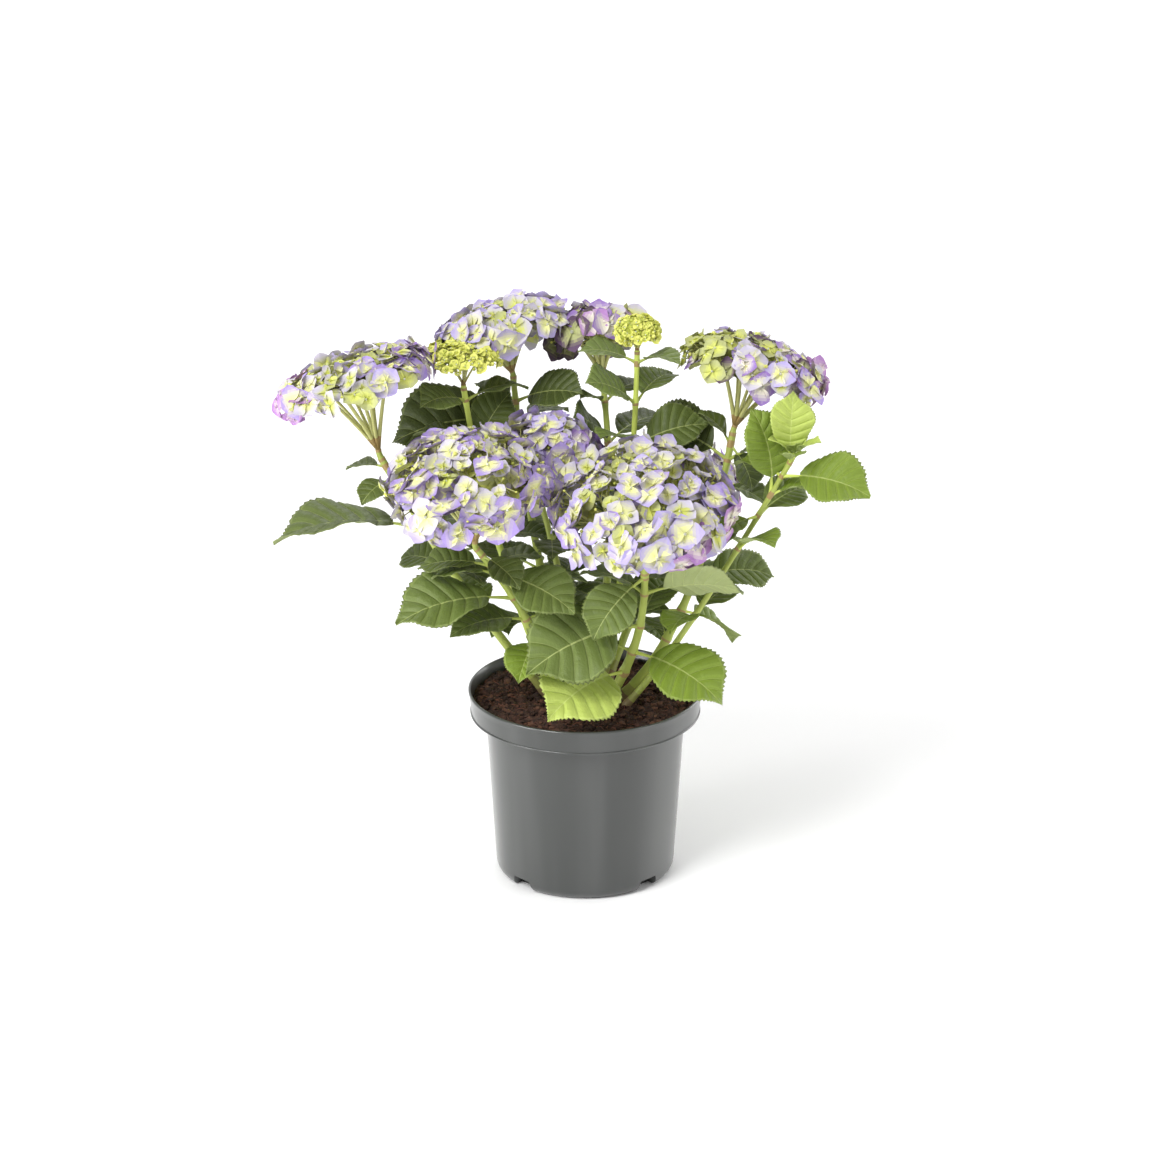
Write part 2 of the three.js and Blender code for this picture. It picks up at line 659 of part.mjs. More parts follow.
function soilSolid() {
  const collarFoot = POT_HEIGHT - COLLAR_DEPTH;
  const inside = (radius) => radius - WALL - GAP * 2;
  const profile = [
    [0, FLOOR + GAP], [HAUNCH_RADIUS - HAUNCH_EASE, FLOOR + GAP],
    [inside(BASE_RADIUS), HAUNCH_HEIGHT + HAUNCH_EASE],
    [inside(NECK_RADIUS), collarFoot + WALL], [inside(NECK_RADIUS), collarFoot + WALL + GAP],
    [inside(COLLAR_FOOT_RADIUS), collarFoot + WALL + GAP],
    [inside(COLLAR_FOOT_RADIUS) + SOIL_SPREAD, SOIL_EDGE],
    [SOIL_FLAT_RADIUS, SOIL_TOP], [0, SOIL_TOP],
  ];
  return lathe(profile, POT_SIDES);
}

const plant = new THREE.Group();
plant.name = "potted_hydrangea";
plant.add(toMesh("pot", potSolid(), LOOKS.pot));
plant.add(toMesh("soil", soilSolid(), LOOKS.soil));

const canes = prepareCanes();
growLeaves(canes);
const earlierHeads = [];
for (const cane of canes) {
  const { bough, mass } = bladesSolid(cane);
  plant.add(toMesh(`stem_${cane.name}`, bough, LOOKS.stem));
  plant.add(toMesh(`leaves_${cane.name}`, mass, LOOKS.leaves));
  if (cane.headSpace) {
    plant.add(toMesh(`bloom_${cane.name}`, bloomSolid(cane, earlierHeads), LOOKS.bloom));
    earlierHeads.push(cane.headSpace);
  }
}

export default plant;
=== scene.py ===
"""A mophead hydrangea in a grey nursery pot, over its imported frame. Sizes in the tables are millimetres."""
import math

import bpy
import numpy as np
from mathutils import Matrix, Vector, noise


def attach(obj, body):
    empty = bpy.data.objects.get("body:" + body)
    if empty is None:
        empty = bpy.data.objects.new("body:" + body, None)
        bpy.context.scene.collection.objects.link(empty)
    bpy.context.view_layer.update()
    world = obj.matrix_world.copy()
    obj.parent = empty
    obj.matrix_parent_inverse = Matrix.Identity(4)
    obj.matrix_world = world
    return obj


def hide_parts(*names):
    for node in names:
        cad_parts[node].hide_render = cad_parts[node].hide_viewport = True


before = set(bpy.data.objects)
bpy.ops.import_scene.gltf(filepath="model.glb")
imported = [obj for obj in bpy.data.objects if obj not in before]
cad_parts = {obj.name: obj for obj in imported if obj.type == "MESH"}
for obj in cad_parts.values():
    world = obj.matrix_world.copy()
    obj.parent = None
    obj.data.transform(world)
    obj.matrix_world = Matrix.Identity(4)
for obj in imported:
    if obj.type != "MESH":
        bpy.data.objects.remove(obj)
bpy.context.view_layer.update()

bl_info = {
    "name": "Potted hydrangea",
    "version": (1, 0, 0),
    "blender": (4, 5, 0),
    "location": "3D View > Sidebar > Hydrangea",
    "description": "Builds a mophead hydrangea in a nursery pot over its packed frame",
    "category": "Object",
}

MM = 0.001
UP = np.array([0.0, 0.0, 1.0])
GOLDEN = math.pi * (3 - math.sqrt(5))
BLACK = (0, 0, 0)
WHITE = (1, 1, 1)


def paint(red, green, blue):
    """Linear colour from everyday values of 0 to 255"""
    values = np.array([red, green, blue]) / 255
    linear = np.where(values > 0.04, ((values + 0.055) / 1.055) ** 2.4, values / 12.92)
    return tuple(linear.tolist())


def mixed(first, second, share):
    """A share of the way from the first colour to the second"""
    return tuple(a + (b - a) * share for a, b in zip(first, second))


# Pot, soil line and canes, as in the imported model
POT_HEIGHT = 190
RIM_RADIUS = 115
COLLAR_DEPTH = 24
COLLAR_FOOT_RADIUS = 112.5
COLLAR_BEAD = 1.1
LIP_ROLL = 1.7
NECK_RADIUS = 98.5
BASE_RADIUS = 88.6
FOOT_RADIUS = 80
CORNER = 11
WALL = 2.6
FLOOR = 5
HAUNCH_RADIUS = 64
HAUNCH_HEIGHT = 17
NOTCH_TURN = 45
NOTCH_COUNT = 4
NOTCH_HEIGHT = 12
NOTCH_TOP_WIDTH = 20
NOTCH_FOOT_WIDTH = 28
NOTCH_INNER_RADIUS = 74
SOIL_TOP = 181
SOIL_EDGE = 178
SOIL_LEVEL_SHARE = 0.62
SOIL_DEPTH = 9
CUT = SOIL_TOP + 0.3
FLARE = 0.45
FLARE_SHARE = 0.1
TIP_TAPER = 0.62

# Leaves and their spacing
PETIOLE_SHARE = 0.2
BLADE_WIDTH = 0.38
BLADE_FOOT = 0.75
BLADE_TIP = 0.82
FOLD = 0.16
SAG = 34
PARTNER_SAG = 46
PARTNER_SWING = 24
CLEAR = 4
HEAD_CLEAR = 5
LEAF_REACH = 0.62
CONE_SHARE = 0.7
RISE_STEPS = (0, 9, -9, 18, -18, 27, -27)
TURN_STEPS = (0, 8, -8, 16, -16, 24, -24, 32, -32)

# Rows of a blade from one side vein to the next, and its columns from edge to edge
LEAF_ROWS = (0, 0.028, 0.25, 0.5, 0.75, 0.972)
SMALL_LEAF_ROWS = (0, 0.04, 0.5, 0.96)
LEAF_COLUMNS = (-1, -0.94, -0.74, -0.5, -0.26, -0.02, 0.02, 0.26, 0.5, 0.74, 0.94, 1)
SMALL_LEAF = 62
TIP_LEAVES = 7

# Flower heads: florets stand on an outer and an inner layer of the dome
FORK_SHARE = 0.12
OUTER_LAYER = 0.9
INNER_LAYER = 0.66
INNER_CROWD = 0.5
BUDDING_CROWD = 1.5
GIVE_WAY = 3

# Each cane: foot, waist, hub, radius, leaf pairs as [share of the cane, turn, rise, length, roll,
# length of the opposite leaf], tone of each main leaf and of the opposite ones, and its head as
# (centre, radius, dome, florets, size, skirt)
CANES = {
    "front_left": (
        (-20, -18), (-55, -39, 274), (-104, -60, 358), 4.6,
        [(0.40, -107, -22, 64, -14, 50), (0.52, -153, 0, 84, -14, 60), (0.66, -160, -4, 122, -12, 78),
         (0.82, -31, -14, 92, 32, 66), (0.88, 168, -6, 74, -10, 58), (0.95, -40, -24, 54, 20, 44)],
        "fresh deep green green deep deep", "green",
        ((-110, -70, 423), 79, 51, 28, 1.12, 108)),
    "front_right": (
        (22, -16), (50, -37, 256), (57, -60, 334), 5.2,
        [(0.24, -133, -2, 128, -30, 66), (0.40, -36, -14, 112, 24, 74), (0.60, -146, -8, 134, -40, 84),
         (0.84, -12, 8, 100, -50, 70), (0.96, -141, -36, 82, -26, 56)],
        "lime fresh green grey green", "green",
        ((57, -80, 406), 87, 51, 29, 1.14, 108)),
    # The centre cane's leaves lie between the front heads: their deep tone is partly painted shade
    "centre": (
        (-4, -3), (-20, -4, 286), (-42, 2, 380), 4.4,
        [(0.30, 100, 10, 78, 0, 60), (0.55, -70, -8, 74, 0, 70), (0.80, 60, 6, 70, 0, 56)],
        "deep deep deep", "deep",
        ((-36, 2, 428), 49, 40, 14, 1.16, 108)),
    "left": (
        (-36, 2), (-118, -8, 298), (-196, 0, 428), 4.8,
        [(0.36, 118, 8, 84, 0, 52), (0.58, 142, -2, 66, -20, 56), (0.74, -166, 2, 152, 4, 74),
         (0.93, -134, -19, 46, -10, 40), (0.97, 161, -8, 44, 0, 44)],
        "green deep deep deep deep", "deep",
        ((-219, 8, 502), 78, 26, 21, 1.08, 96)),
    "right": (
        (33, -8), (98, -6, 284), (143, 30, 444), 5,
        [(0.34, -80, 4, 66, 0, 54), (0.46, 34, -34, 82, 10, 60), (0.58, 14, -2, 84, 24, 62),
         (0.74, 128, 6, 92, -20, 64), (0.86, 150, -4, 80, -36, 52), (0.93, 153, 16, 96, -40, 84),
         (0.97, -46, -50, 52, 0, 46)],
        "green fresh green deep deep dark dark", "deep",
        ((161, 42, 501), 74, 35, 22, 1.08, 98)),
    "back_left": (
        (-17, 22), (-50, 52, 332), (-70, 80, 485), 4.8,
        [(0.38, 150, 6, 92, 0, 84), (0.62, 96, 4, 96, 0, 60), (0.86, -162, -6, 128, -46, 60),
         (0.92, -32, 16, 82, 30, 54)],
        "green deep dark dark", "deep",
        ((-81, 88, 525), 67, 32, 19, 1.08, 96)),
    "back": (
        (8, 26), (24, 50, 330), (17, 72, 484), 4.6,
        [(0.40, 20, 8, 88, 0, 80), (0.64, 74, 6, 90, 0, 52), (0.80, -158, 20, 70, -30, 78),
         (0.93, -134, 22, 38, 0, 56)],
        "green deep dark deep", "dark",
        ((12, 92, 521), 48, 29, 12, 1.14, 96)),
    "bud_left": (
        (-31, 15), (-84, 26, 330), (-117, 32, 489), 4.4,
        [(0.52, 170, 4, 80, 0, 62), (0.80, 20, 20, 70, 30, 66), (0.96, -162, 20, 66, -20, 66)],
        "deep deep deep", "deep",
        ((-118, 31, 519), 41, 16, 19, 0.7, 96)),
    "bud_right": (
        (16, 8), (40, 22, 345), (50, 25, 528), 4,
        [(0.56, -12, 12, 76, 0, 60), (0.74, 40, 16, 78, 40, 64), (0.86, -138, 30, 74, -30, 66),
         (0.97, 152, 24, 60, -10, 54)],
        "deep deep green green", "green",
        ((50, 23, 546), 23, 17, 9, 0.7, 96)),
    "young_right": (
        (40, -25), (106, -28, 276), (198, -42, 444), 3.8,
        [(0.50, 60, 10, 72, 0, 60), (0.74, 118, 62, 100, -20, 66), (0.84, 40, 14, 66, 20, 62),
         (0.90, 150, 78, 90, -50, 50), (0.95, -24, -4, 92, 36, 60), (0.985, 84, 60, 70, 30, 40)],
        "green green green fresh fresh lime", "fresh",
        None),
    "rear_left": (
        (-36, 38), (-68, 102, 262), (-96, 138, 316), 4.6,
        [(0.30, 62, -8, 96, 0, 70), (0.50, 168, -4, 108, 0, 72), (0.72, 84, 2, 108, 0, 66),
         (0.92, 160, -12, 84, 0, 70)],
        "fresh green green green", "green",
        ((-102, 146, 358), 66, 42, 20, 1.14, 108)),
    "rear_right": (
        (22, 36), (58, 104, 254), (84, 144, 306), 4.6,
        [(0.30, 118, -8, 94, 0, 66), (0.50, 8, -4, 106, 0, 70), (0.72, 96, 2, 102, 0, 72),
         (0.92, 20, -12, 88, 0, 66)],
        "fresh green green green", "green",
        ((88, 150, 350), 66, 42, 20, 1.14, 108)),
}

# Blade colours by tone: the deep and dark tones are partly the leaves' own darker green and partly painted
# shade, given to leaves that sit under and behind the heads
LEAF_TONES = {
    "lime": paint(180, 197, 96),
    "fresh": paint(122, 144, 50),
    "green": paint(102, 118, 56),
    "grey": paint(150, 160, 104),
    "deep": paint(88, 102, 46),
    "dark": paint(72, 84, 38),
}

# A petal tone runs from its heart colour to its edge colour
HEARTS = {"lime": paint(204, 209, 108), "cream": paint(228, 229, 162), "pale": paint(228, 223, 204)}
EDGES = {
    "sage": paint(176, 180, 124), "mist": paint(196, 190, 208), "sky": paint(180, 168, 216),
    "lilac": paint(164, 144, 204), "purple": paint(148, 118, 184), "magenta": paint(170, 126, 184),
    "plum": paint(92, 70, 96), "acid": paint(226, 226, 120),
}
PETAL_TONES = {
    "young": ("lime", "sage"), "bowl": ("lime", "mist"), "cream": ("cream", "mist"), "sky": ("cream", "sky"),
    "lilac": ("cream", "lilac"), "purple": ("pale", "purple"), "magenta": ("pale", "magenta"),
    "plum": ("sage", "plum"), "bud": ("lime", "acid"),
}
BUD_TONES = {"lime": paint(224, 226, 118), "green": paint(186, 194, 84), "pearl": paint(212, 214, 200)}

# How far each ring of a petal has turned to the edge colour, and where along the petal rings change
RING_SHARES = (0.0, 0.1, 0.34, 0.62, 0.86, 1.0)
RING_EDGES = (0.24, 0.35, 0.47, 0.6, 0.76)

# Lamps in metres: name, which power, size, place and aim
PLANT = (0, 0, 0.3)
LAMPS = (
    ("key_light", "key", (2.2, 2.2), (-2.5, -3.1, 4.1), PLANT),
    ("fill_light", "fill", (1.6, 2.4), (3.4, -1.6, 1.6), PLANT),
    ("left_strip", "strip", (0.5, 1.6), (-1.7, -1.0, 0.5), PLANT),
    ("rear_strip", "strip", (0.8, 2.2), (1.9, 1.4, 0.7), PLANT),
    ("far_light", "far", (3.6, 2.4), (0, 4.6, 3.4), (0, 4.4, 0)),
)
STUDIO_REACH = 14
LENS = 126.46

# Tones of a head's crown and of its rim, with accents: (direction, tone, how far it spreads)
HEAD_TONES = {
    "front_left": ("young cream bowl cream lilac", "sky lilac cream lilac", [((1, -0.3, 0), "lilac", 0.25)]),
    "front_right": ("young cream cream bowl sky", "sky lilac cream sky",
                    [((0.9, -0.3, -0.7), "magenta", 0.2)]),
    "centre": ("sky cream lilac", "sky lilac sky", [((1, 0, -0.2), "purple", 0.3)]),
    "left": ("young bowl sky", "bowl young sky lilac cream",
             [((-1, 0, -0.4), "magenta", 0.16), ((1, 0.2, 0.2), "purple", 0.3)]),
    "right": ("young bowl young cream plum", "cream lilac bowl sky purple",
              [((1, -0.2, -0.4), "magenta", 0.3), ((-1, 0, 0.3), "young", 0.4)]),
    "back_left": ("bowl young cream sky", "lilac cream bowl sky", [((-1, -0.2, 0), "sky", 0.35)]),
    "back": ("young bowl purple", "purple bowl magenta", [((-1, -0.3, -0.2), "plum", 0.5)]),
    "rear_left": ("bowl cream sky", "sky lilac cream", [((-1, 0.4, 0), "lilac", 0.3)]),
    "rear_right": ("bowl cream sky", "sky lilac cream", [((1, 0.4, 0), "purple", 0.25)]),
}


# Looks that the sidebar shows

def hue(name, about, colour):
    """Property for a colour"""
    return bpy.props.FloatVectorProperty(name=name, description=about, subtype="COLOR", default=colour)


def amount(name, about, value, unit="NONE", **options):
    """Property for a number"""
    return bpy.props.FloatProperty(name=name, description=about, default=value, unit=unit, **options)


def tally(name, about, value, least):
    """Property for a whole number"""
    return bpy.props.IntProperty(name=name, description=about, default=value, min=least)


class PotLook(bpy.types.PropertyGroup):
    """Nursery pot"""

    colour: hue("Plastic", "Colour of the pot's plastic", paint(41, 44, 42))
    sides: tally("Sides", "Facets round the pot", 144, 36)
    ripple: amount("Wall ripple", "How far the moulded wall wavers", 0.00022, "LENGTH")
    roughness: amount("Roughness", "How matt the plastic is", 0.38, subtype="FACTOR", min=0, max=1)


class SoilLook(bpy.types.PropertyGroup):
    """Potting mix"""

    colour: hue("Peat", "Colour of the peat", paint(76, 49, 39))
    relief: amount("Relief", "Height of the lumps in the surface", 0.005, "LENGTH")
    crumbs: tally("Crumbs", "Loose crumbs on top", 2600, 0)
    fibres: tally("Fibres", "Short fibres on top", 420, 0)
    crumb: amount("Crumb size", "Size of the largest crumbs", 0.0048, "LENGTH")


class CaneLook(bpy.types.PropertyGroup):
    """Canes and stalks"""

    green: hue("Green bark", "Colour of a cane", paint(176, 189, 92))
    pale: hue("Young bark", "Colour of a young cane", paint(208, 223, 106))
    stalk: hue("Stalks", "Colour of the flower stalks", paint(202, 202, 130))
    blush: hue("Blush", "Colour of nodes and forks", paint(172, 146, 94))
    woody: hue("Old bark", "Colour at the foot", paint(132, 114, 78))
    swelling: amount("Node swelling", "How much thicker a cane is at its nodes", 0.26, subtype="FACTOR")
    ring_step: amount("Ring step", "Distance between rings along a cane", 0.0028, "LENGTH")


class LeafLook(bpy.types.PropertyGroup):
    """Leaves"""

    veins: tally("Side veins", "Side veins on each half", 8, 3)
    quilt: amount("Quilting", "Height between veins as a share of leaf length", 0.021, subtype="FACTOR")
    tooth: amount("Teeth", "Depth of the teeth as a share of leaf length", 0.018, subtype="FACTOR")
    thickness: amount("Thickness", "Thickness of a blade", 0.0006, "LENGTH")
    vein_colour: hue("Veins", "Colour that veins lean towards", paint(206, 216, 140))
    under_colour: hue("Underside", "Colour that the underside leans towards", paint(178, 190, 132))


class BlossomLook(bpy.types.PropertyGroup):
    """Flower heads"""

    fullness: amount("Fullness", "Florets for each one in the packed model", 5.0, min=1)
    smallest: amount("Smallest floret", "Radius of a young floret", 0.0094, "LENGTH")
    largest: amount("Largest floret", "Radius of a full floret", 0.0188, "LENGTH")
    frill: amount("Frill", "How wavy the sepal edges are", 0.1, subtype="FACTOR")


class StudioLook(bpy.types.PropertyGroup):
    """Floor, lights and camera"""

    floor: hue("Floor", "Colour of the floor", (0.96, 0.96, 0.96))
    sky: amount("Room light", "Strength of the light all round", 0.63)
    key: amount("Key light", "Power of the key light", 208, "POWER")
    fill: amount("Fill light", "Power of the fill light", 30, "POWER")
    strip: amount("Strip lights", "Power of each strip light", 20, "POWER")
    far: amount("Far light", "Power of the light on the far floor", 120, "POWER")
    height: amount("Aim height", "Height that the camera looks at", 0.2974, "LENGTH")
    distance: amount("Distance", "Distance of the camera", 4.0, "LENGTH")
    elevation: amount("Elevation", "Angle of the camera above the horizon", math.radians(21), subtype="ANGLE")


# Mesh making

class Heap:
    """Points and faces of one joined piece, gathered part by part, in millimetres"""

    def __init__(self):
        self.points, self.faces, self.keys = [], [], []
        self.count = 0

    def add(self, points, faces, keys):
        """Adds faces of three or four corners; keys name their materials"""
        points = np.asarray(points, float).reshape(-1, 3)
        self.points.append(points)
        self.faces.append(np.asarray(faces, int) + self.count)
        self.keys.append(np.broadcast_to(np.asarray(keys, object), (len(faces),)))
        self.count += len(points)

    def build(self, name, slot, nodes, smooth=True):
        """Makes the piece from all that was gathered, with one material for each key"""
        mesh = bpy.data.meshes.new(name)
        points = np.concatenate(self.points) * MM
        mesh.vertices.add(len(points))
        mesh.vertices.foreach_set("co", points.astype(np.float32).ravel())
        loops = np.concatenate([block.ravel() for block in self.faces])
        corners = np.concatenate([np.full(len(block), block.shape[1]) for block in self.faces])
        mesh.loops.add(len(loops))
        mesh.loops.foreach_set("vertex_index", loops.astype(np.int32))
        mesh.polygons.add(len(corners))
        mesh.polygons.foreach_set("loop_start", (np.cumsum(corners) - corners).astype(np.int32))
        keys, which = np.unique(np.concatenate(self.keys).astype(str), return_inverse=True)
        for key in keys:
            mesh.materials.append(bpy.data.materials[key])
        mesh.polygons.foreach_set("material_index", which.astype(np.int32))
        mesh.polygons.foreach_set("use_smooth", np.full(len(corners), smooth))
        mesh.update(calc_edges=True)
        mesh.validate()
        piece = add_object(name, mesh)
        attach(piece, "root")
        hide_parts(*nodes)
        return piece


def add_object(name, data):
    """A new object in the scene"""
    thing = bpy.data.objects.new(name, data)
    bpy.context.scene.collection.objects.link(thing)
    return thing


def unit(vectors):
    return vectors / np.maximum(np.linalg.norm(vectors, axis=-1, keepdims=True), 1e-9)


def turns(sides):
    """Angles of the corners round a ring"""
    return np.arange(sides) / sides * 2 * math.pi


def round_axis(radius, angle, height):
    """Points at radii and angles round the upright axis"""
    x, y = radius * np.cos(angle), radius * np.sin(angle)
    return np.stack([x, y, np.broadcast_to(height, x.shape)], -1)


def rotated(x, y, z, angle):
    """Points turned about the upright axis"""
    return np.stack([x * np.cos(angle) - y * np.sin(angle), x * np.sin(angle) + y * np.cos(angle), z], -1)


def between(start, bend, end, share):
    """Points at shares of an arc that leans towards its bend"""
    return (1 - share) ** 2 * start + 2 * share * (1 - share) * bend + share**2 * end


def curve(start, bow, end, rings):
    """Paths of many arcs at once"""
    return between(start[:, None], bow[:, None], end[:, None], np.linspace(0, 1, rings)[None, :, None])


def golden(count, cap, shift):
    """Even places by the golden angle: angles from the crown of a dome and round its axis"""
    number = np.arange(count)
    return np.arccos(1 - cap * (number + 0.5) / count), number * GOLDEN + shift


def grid_faces(rows, columns, closed=False):
    """Four-cornered faces of a grid of points, row by row"""
    across = columns if closed else columns - 1
    row, column = np.meshgrid(np.arange(rows - 1), np.arange(across), indexing="ij")
    after = (column + 1) % columns
    corners = [row * columns + column, row * columns + after, (row + 1) * columns + after,
               (row + 1) * columns + column]
    return np.stack(corners, -1).reshape(-1, 4)


def fan(ring, tip):
    """Triangles from each side of a closed ring to its tip"""
    return np.stack([ring, np.roll(ring, -1), np.full(len(ring), tip)], -1)


def copies(faces, count, step):
    """Faces of many copies of one shape, whose points follow each other"""
    return (faces[None] + (np.arange(count) * step)[:, None, None]).reshape(-1, faces.shape[1])


def tubes(heap, paths, radii, sides, keys):
    """Closed bars along many paths at once; paths are (bars, rings, 3), keys (bars, rings - 1)"""
    paths, radii = np.asarray(paths, float), np.asarray(radii, float)
    count, rings = paths.shape[:2]
    tangent = unit(np.gradient(paths, axis=1))
    reference = np.where(np.abs(tangent[:, :1, 0:1]) > 0.75, [[[0.0, 1.0, 0.0]]], [[[1.0, 0.0, 0.0]]])
    side = unit(np.cross(np.broadcast_to(reference, tangent.shape), tangent))
    front = np.cross(tangent, side)
    angle = turns(sides)
    if radii.ndim == 2:
        radii = np.repeat(radii[:, :, None], sides, axis=2)
    ring = side[:, :, None] * np.cos(angle)[:, None] + front[:, :, None] * np.sin(angle)[:, None]
    points = paths[:, :, None] + ring * radii[..., None]
    faces = copies(grid_faces(rings, sides, closed=True), count, rings * sides)
    keys = np.broadcast_to(np.asarray(keys, object), (count, rings - 1))
    start = heap.count
    heap.add(points, faces, np.repeat(keys.reshape(-1), sides))
    ends = np.concatenate([paths[:, 0], paths[:, -1]])
    first = np.arange(sides)
    low = np.stack([np.roll(first, -1), first], -1)
    high = low[:, ::-1] + (rings - 1) * sides
    caps = []
    for pairs, at in ((low, 0), (high, count)):
        corner = copies(pairs, count, rings * sides) + start
        tip = np.repeat(heap.count + at + np.arange(count), sides)[:, None]
        caps.append(np.concatenate([corner, tip], -1))
    last = np.concatenate([np.repeat(keys[:, 0], sides), np.repeat(keys[:, -1], sides)])
    heap.add(ends, np.concatenate(caps) - heap.count, last)


# Materials

def set_inputs(node, values):
    """Sets inputs by name, with an underscore for each space"""
    for label, value in values.items():
        node.inputs[label.replace("_", " ")].default_value = value
    return node


def add_node(tree, kind, operation=None, **values):
    """A new shader node with some of its inputs set"""
    node = tree.nodes.new(f"ShaderNode{kind}")
    if operation:
        node.operation = operation
    return set_inputs(node, values)


def connect(tree, pairs):
    """Links each output to its input"""
    for output, socket in pairs:
        tree.links.new(output, socket)


def grain_group():
    """Two sizes of fine grain, as a height and as a mask that change over the surface"""
    group = bpy.data.node_groups.get("Fine grain")
    if group:
        return group
    group = bpy.data.node_groups.new("Fine grain", "ShaderNodeTree")
    for label, value in (("Grains per metre", 400.0), ("Stretch", 1.0)):
        group.interface.new_socket(label, in_out="INPUT", socket_type="NodeSocketFloat").default_value = value
    for label in ("Height", "Mask"):
        group.interface.new_socket(label, in_out="OUTPUT", socket_type="NodeSocketFloat")
    inside, outside = group.nodes.new("NodeGroupInput"), group.nodes.new("NodeGroupOutput")
    place, stretch = add_node(group, "TexCoord"), add_node(group, "CombineXYZ", X=1, Y=1)
    scaled = add_node(group, "VectorMath", "MULTIPLY")
    fine, coarse = add_node(group, "TexNoise", Detail=3), add_node(group, "TexNoise", Detail=2)
    quarter, both = add_node(group, "Math", "MULTIPLY"), add_node(group, "Math", "MULTIPLY_ADD")
    quarter.inputs[1].default_value = 0.22
    both.inputs[1].default_value = 2.2
    grains = inside.outputs["Grains per metre"]
    connect(group, (
        (inside.outputs["Stretch"], stretch.inputs["Z"]),
        (place.outputs["Object"], scaled.inputs[0]),
        (stretch.outputs["Vector"], scaled.inputs[1]),
        (grains, fine.inputs["Scale"]),
        (grains, quarter.inputs[0]),
        (quarter.outputs["Value"], coarse.inputs["Scale"]),
        (scaled.outputs["Vector"], fine.inputs["Vector"]),
        (scaled.outputs["Vector"], coarse.inputs["Vector"]),
        (coarse.outputs["Fac"], both.inputs[0]),
        (fine.outputs["Fac"], both.inputs[2]),
        (both.outputs["Value"], outside.inputs["Height"]),
        (coarse.outputs["Fac"], outside.inputs["Mask"]),
    ))
    return group


def finish(name, colour, roughness, grains, bump, depth, spread=0.1, stretch=1.0, second=None, **sockets):
    """A material with grain in its relief and sheen; a second colour is mottled over the first"""
    material = bpy.data.materials.new(name)
    material.use_nodes = True
    tree = material.node_tree
    shader = set_inputs(tree.nodes["Principled BSDF"], {"Base_Color": (*colour, 1), **sockets})
    grain = add_node(tree, "Group")
    grain.node_tree = grain_group()
    set_inputs(grain, {"Grains_per_metre": grains, "Stretch": stretch})
    matt = add_node(tree, "MapRange", From_Min=0.3, From_Max=0.7, To_Min=roughness - spread,
                    To_Max=roughness + spread)
    relief = add_node(tree, "Bump", Strength=bump, Distance=depth)
    connect(tree, (
        (grain.outputs["Mask"], matt.inputs["Value"]),
        (matt.outputs["Result"], shader.inputs["Roughness"]),
        (grain.outputs["Height"], relief.inputs["Height"]),
        (relief.outputs["Normal"], shader.inputs["Normal"]),
    ))
    if second:
        ramp = add_node(tree, "ValToRGB")
        ramp.color_ramp.interpolation = "EASE"
        for element, place, value in zip(ramp.color_ramp.elements, (0.36, 0.66), (colour, second)):
            element.position = place
            element.color = (*value, 1)
        connect(tree, ((grain.outputs["Mask"], ramp.inputs["Fac"]),
                       (ramp.outputs["Color"], shader.inputs["Base Color"])))
    return material


# The rule that canes, leaves and heads grow by

def seeded(seed):
    """Even draws from 0 to 1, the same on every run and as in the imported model"""
    state = seed % 2**32
    while True:
        state = (state * 1664525 + 1013904223) % 2**32
        yield state / 2**32


class Cane:
    """One arc from foot to hub, with its head's space and its leaves"""

    def __init__(self, name, row):
        foot, waist, hub, self.radius, self.pairs, tones, self.partner_tone, head = row
        self.name, self.tones, self.leaves, self.head = name, tones.split(), [], None
        self.start = np.array([*foot, CUT], float)
        self.end = np.array(hub, float)
        self.handle = 2 * np.array(waist, float) - 0.5 * self.start - 0.5 * self.end
        chords = np.diff(self.at(np.linspace(0, 1, 201)), axis=0)
        self.length = np.linalg.norm(chords, axis=1).sum()
        share = np.arange(math.ceil(self.length / 6) + 1) / math.ceil(self.length / 6)
        self.spine, self.thickness = self.at(share), self.radius_at(share)
        if head:
            self.head = Head(name, self, head)

    def at(self, share):
        """Points at shares of the way from foot to hub"""
        return between(self.start, self.handle, self.end, np.asarray(share, float)[..., None])

    def radius_at(self, share):
        """Radius with the flare at the foot and the taper to the tip"""
        share = np.asarray(share, float)
        flare = 1 + FLARE * np.maximum(0, 1 - share / FLARE_SHARE) ** 2
        return self.radius * (1 + (TIP_TAPER - 1) * share) * flare


class Head:
    """A dome on its axis from the hub, with the space it keeps"""

    def __init__(self, name, cane, row):
        centre, self.radius, self.dome, self.florets, self.size, self.skirt = row
        self.name, self.cane = name, cane
        self.middle = np.array(centre, float)
        self.axis = self.middle - cane.end
        self.reach = np.linalg.norm(self.axis)
        self.axis = self.axis / self.reach
        self.side = unit(np.cross([1.0, 0.0, 0.0], self.axis))
        self.front = np.cross(self.axis, self.side)
        self.fork = cane.end + (self.middle - cane.end) * FORK_SHARE

    def on_dome(self, theta, azimuth, scale):
        """Points at angles from the crown and round the axis, on a dome scaled towards the middle"""
        theta, azimuth, scale = (np.asarray(v, float)[..., None] for v in (theta, azimuth, scale))
        spread = np.sin(theta) * self.radius * scale
        return (self.middle + self.side * np.cos(azimuth) * spread + self.front * np.sin(azimuth) * spread
                + self.axis * np.cos(theta) * self.dome * scale)

    def holds(self, points, margin):
        """Which points lie in the dome or in the cone of its flower stalks"""
        offset = points - self.middle
        height = offset @ self.axis
        spread = np.sqrt(np.maximum((offset**2).sum(-1) - height**2, 0))
        ball = (spread / (self.radius + margin)) ** 2 + (height / (self.dome + margin)) ** 2 < 1
        climb = (height + self.reach) / self.reach
        return ball | ((climb > 0.15) & (climb < 1) & (spread < climb * self.radius * CONE_SHARE))


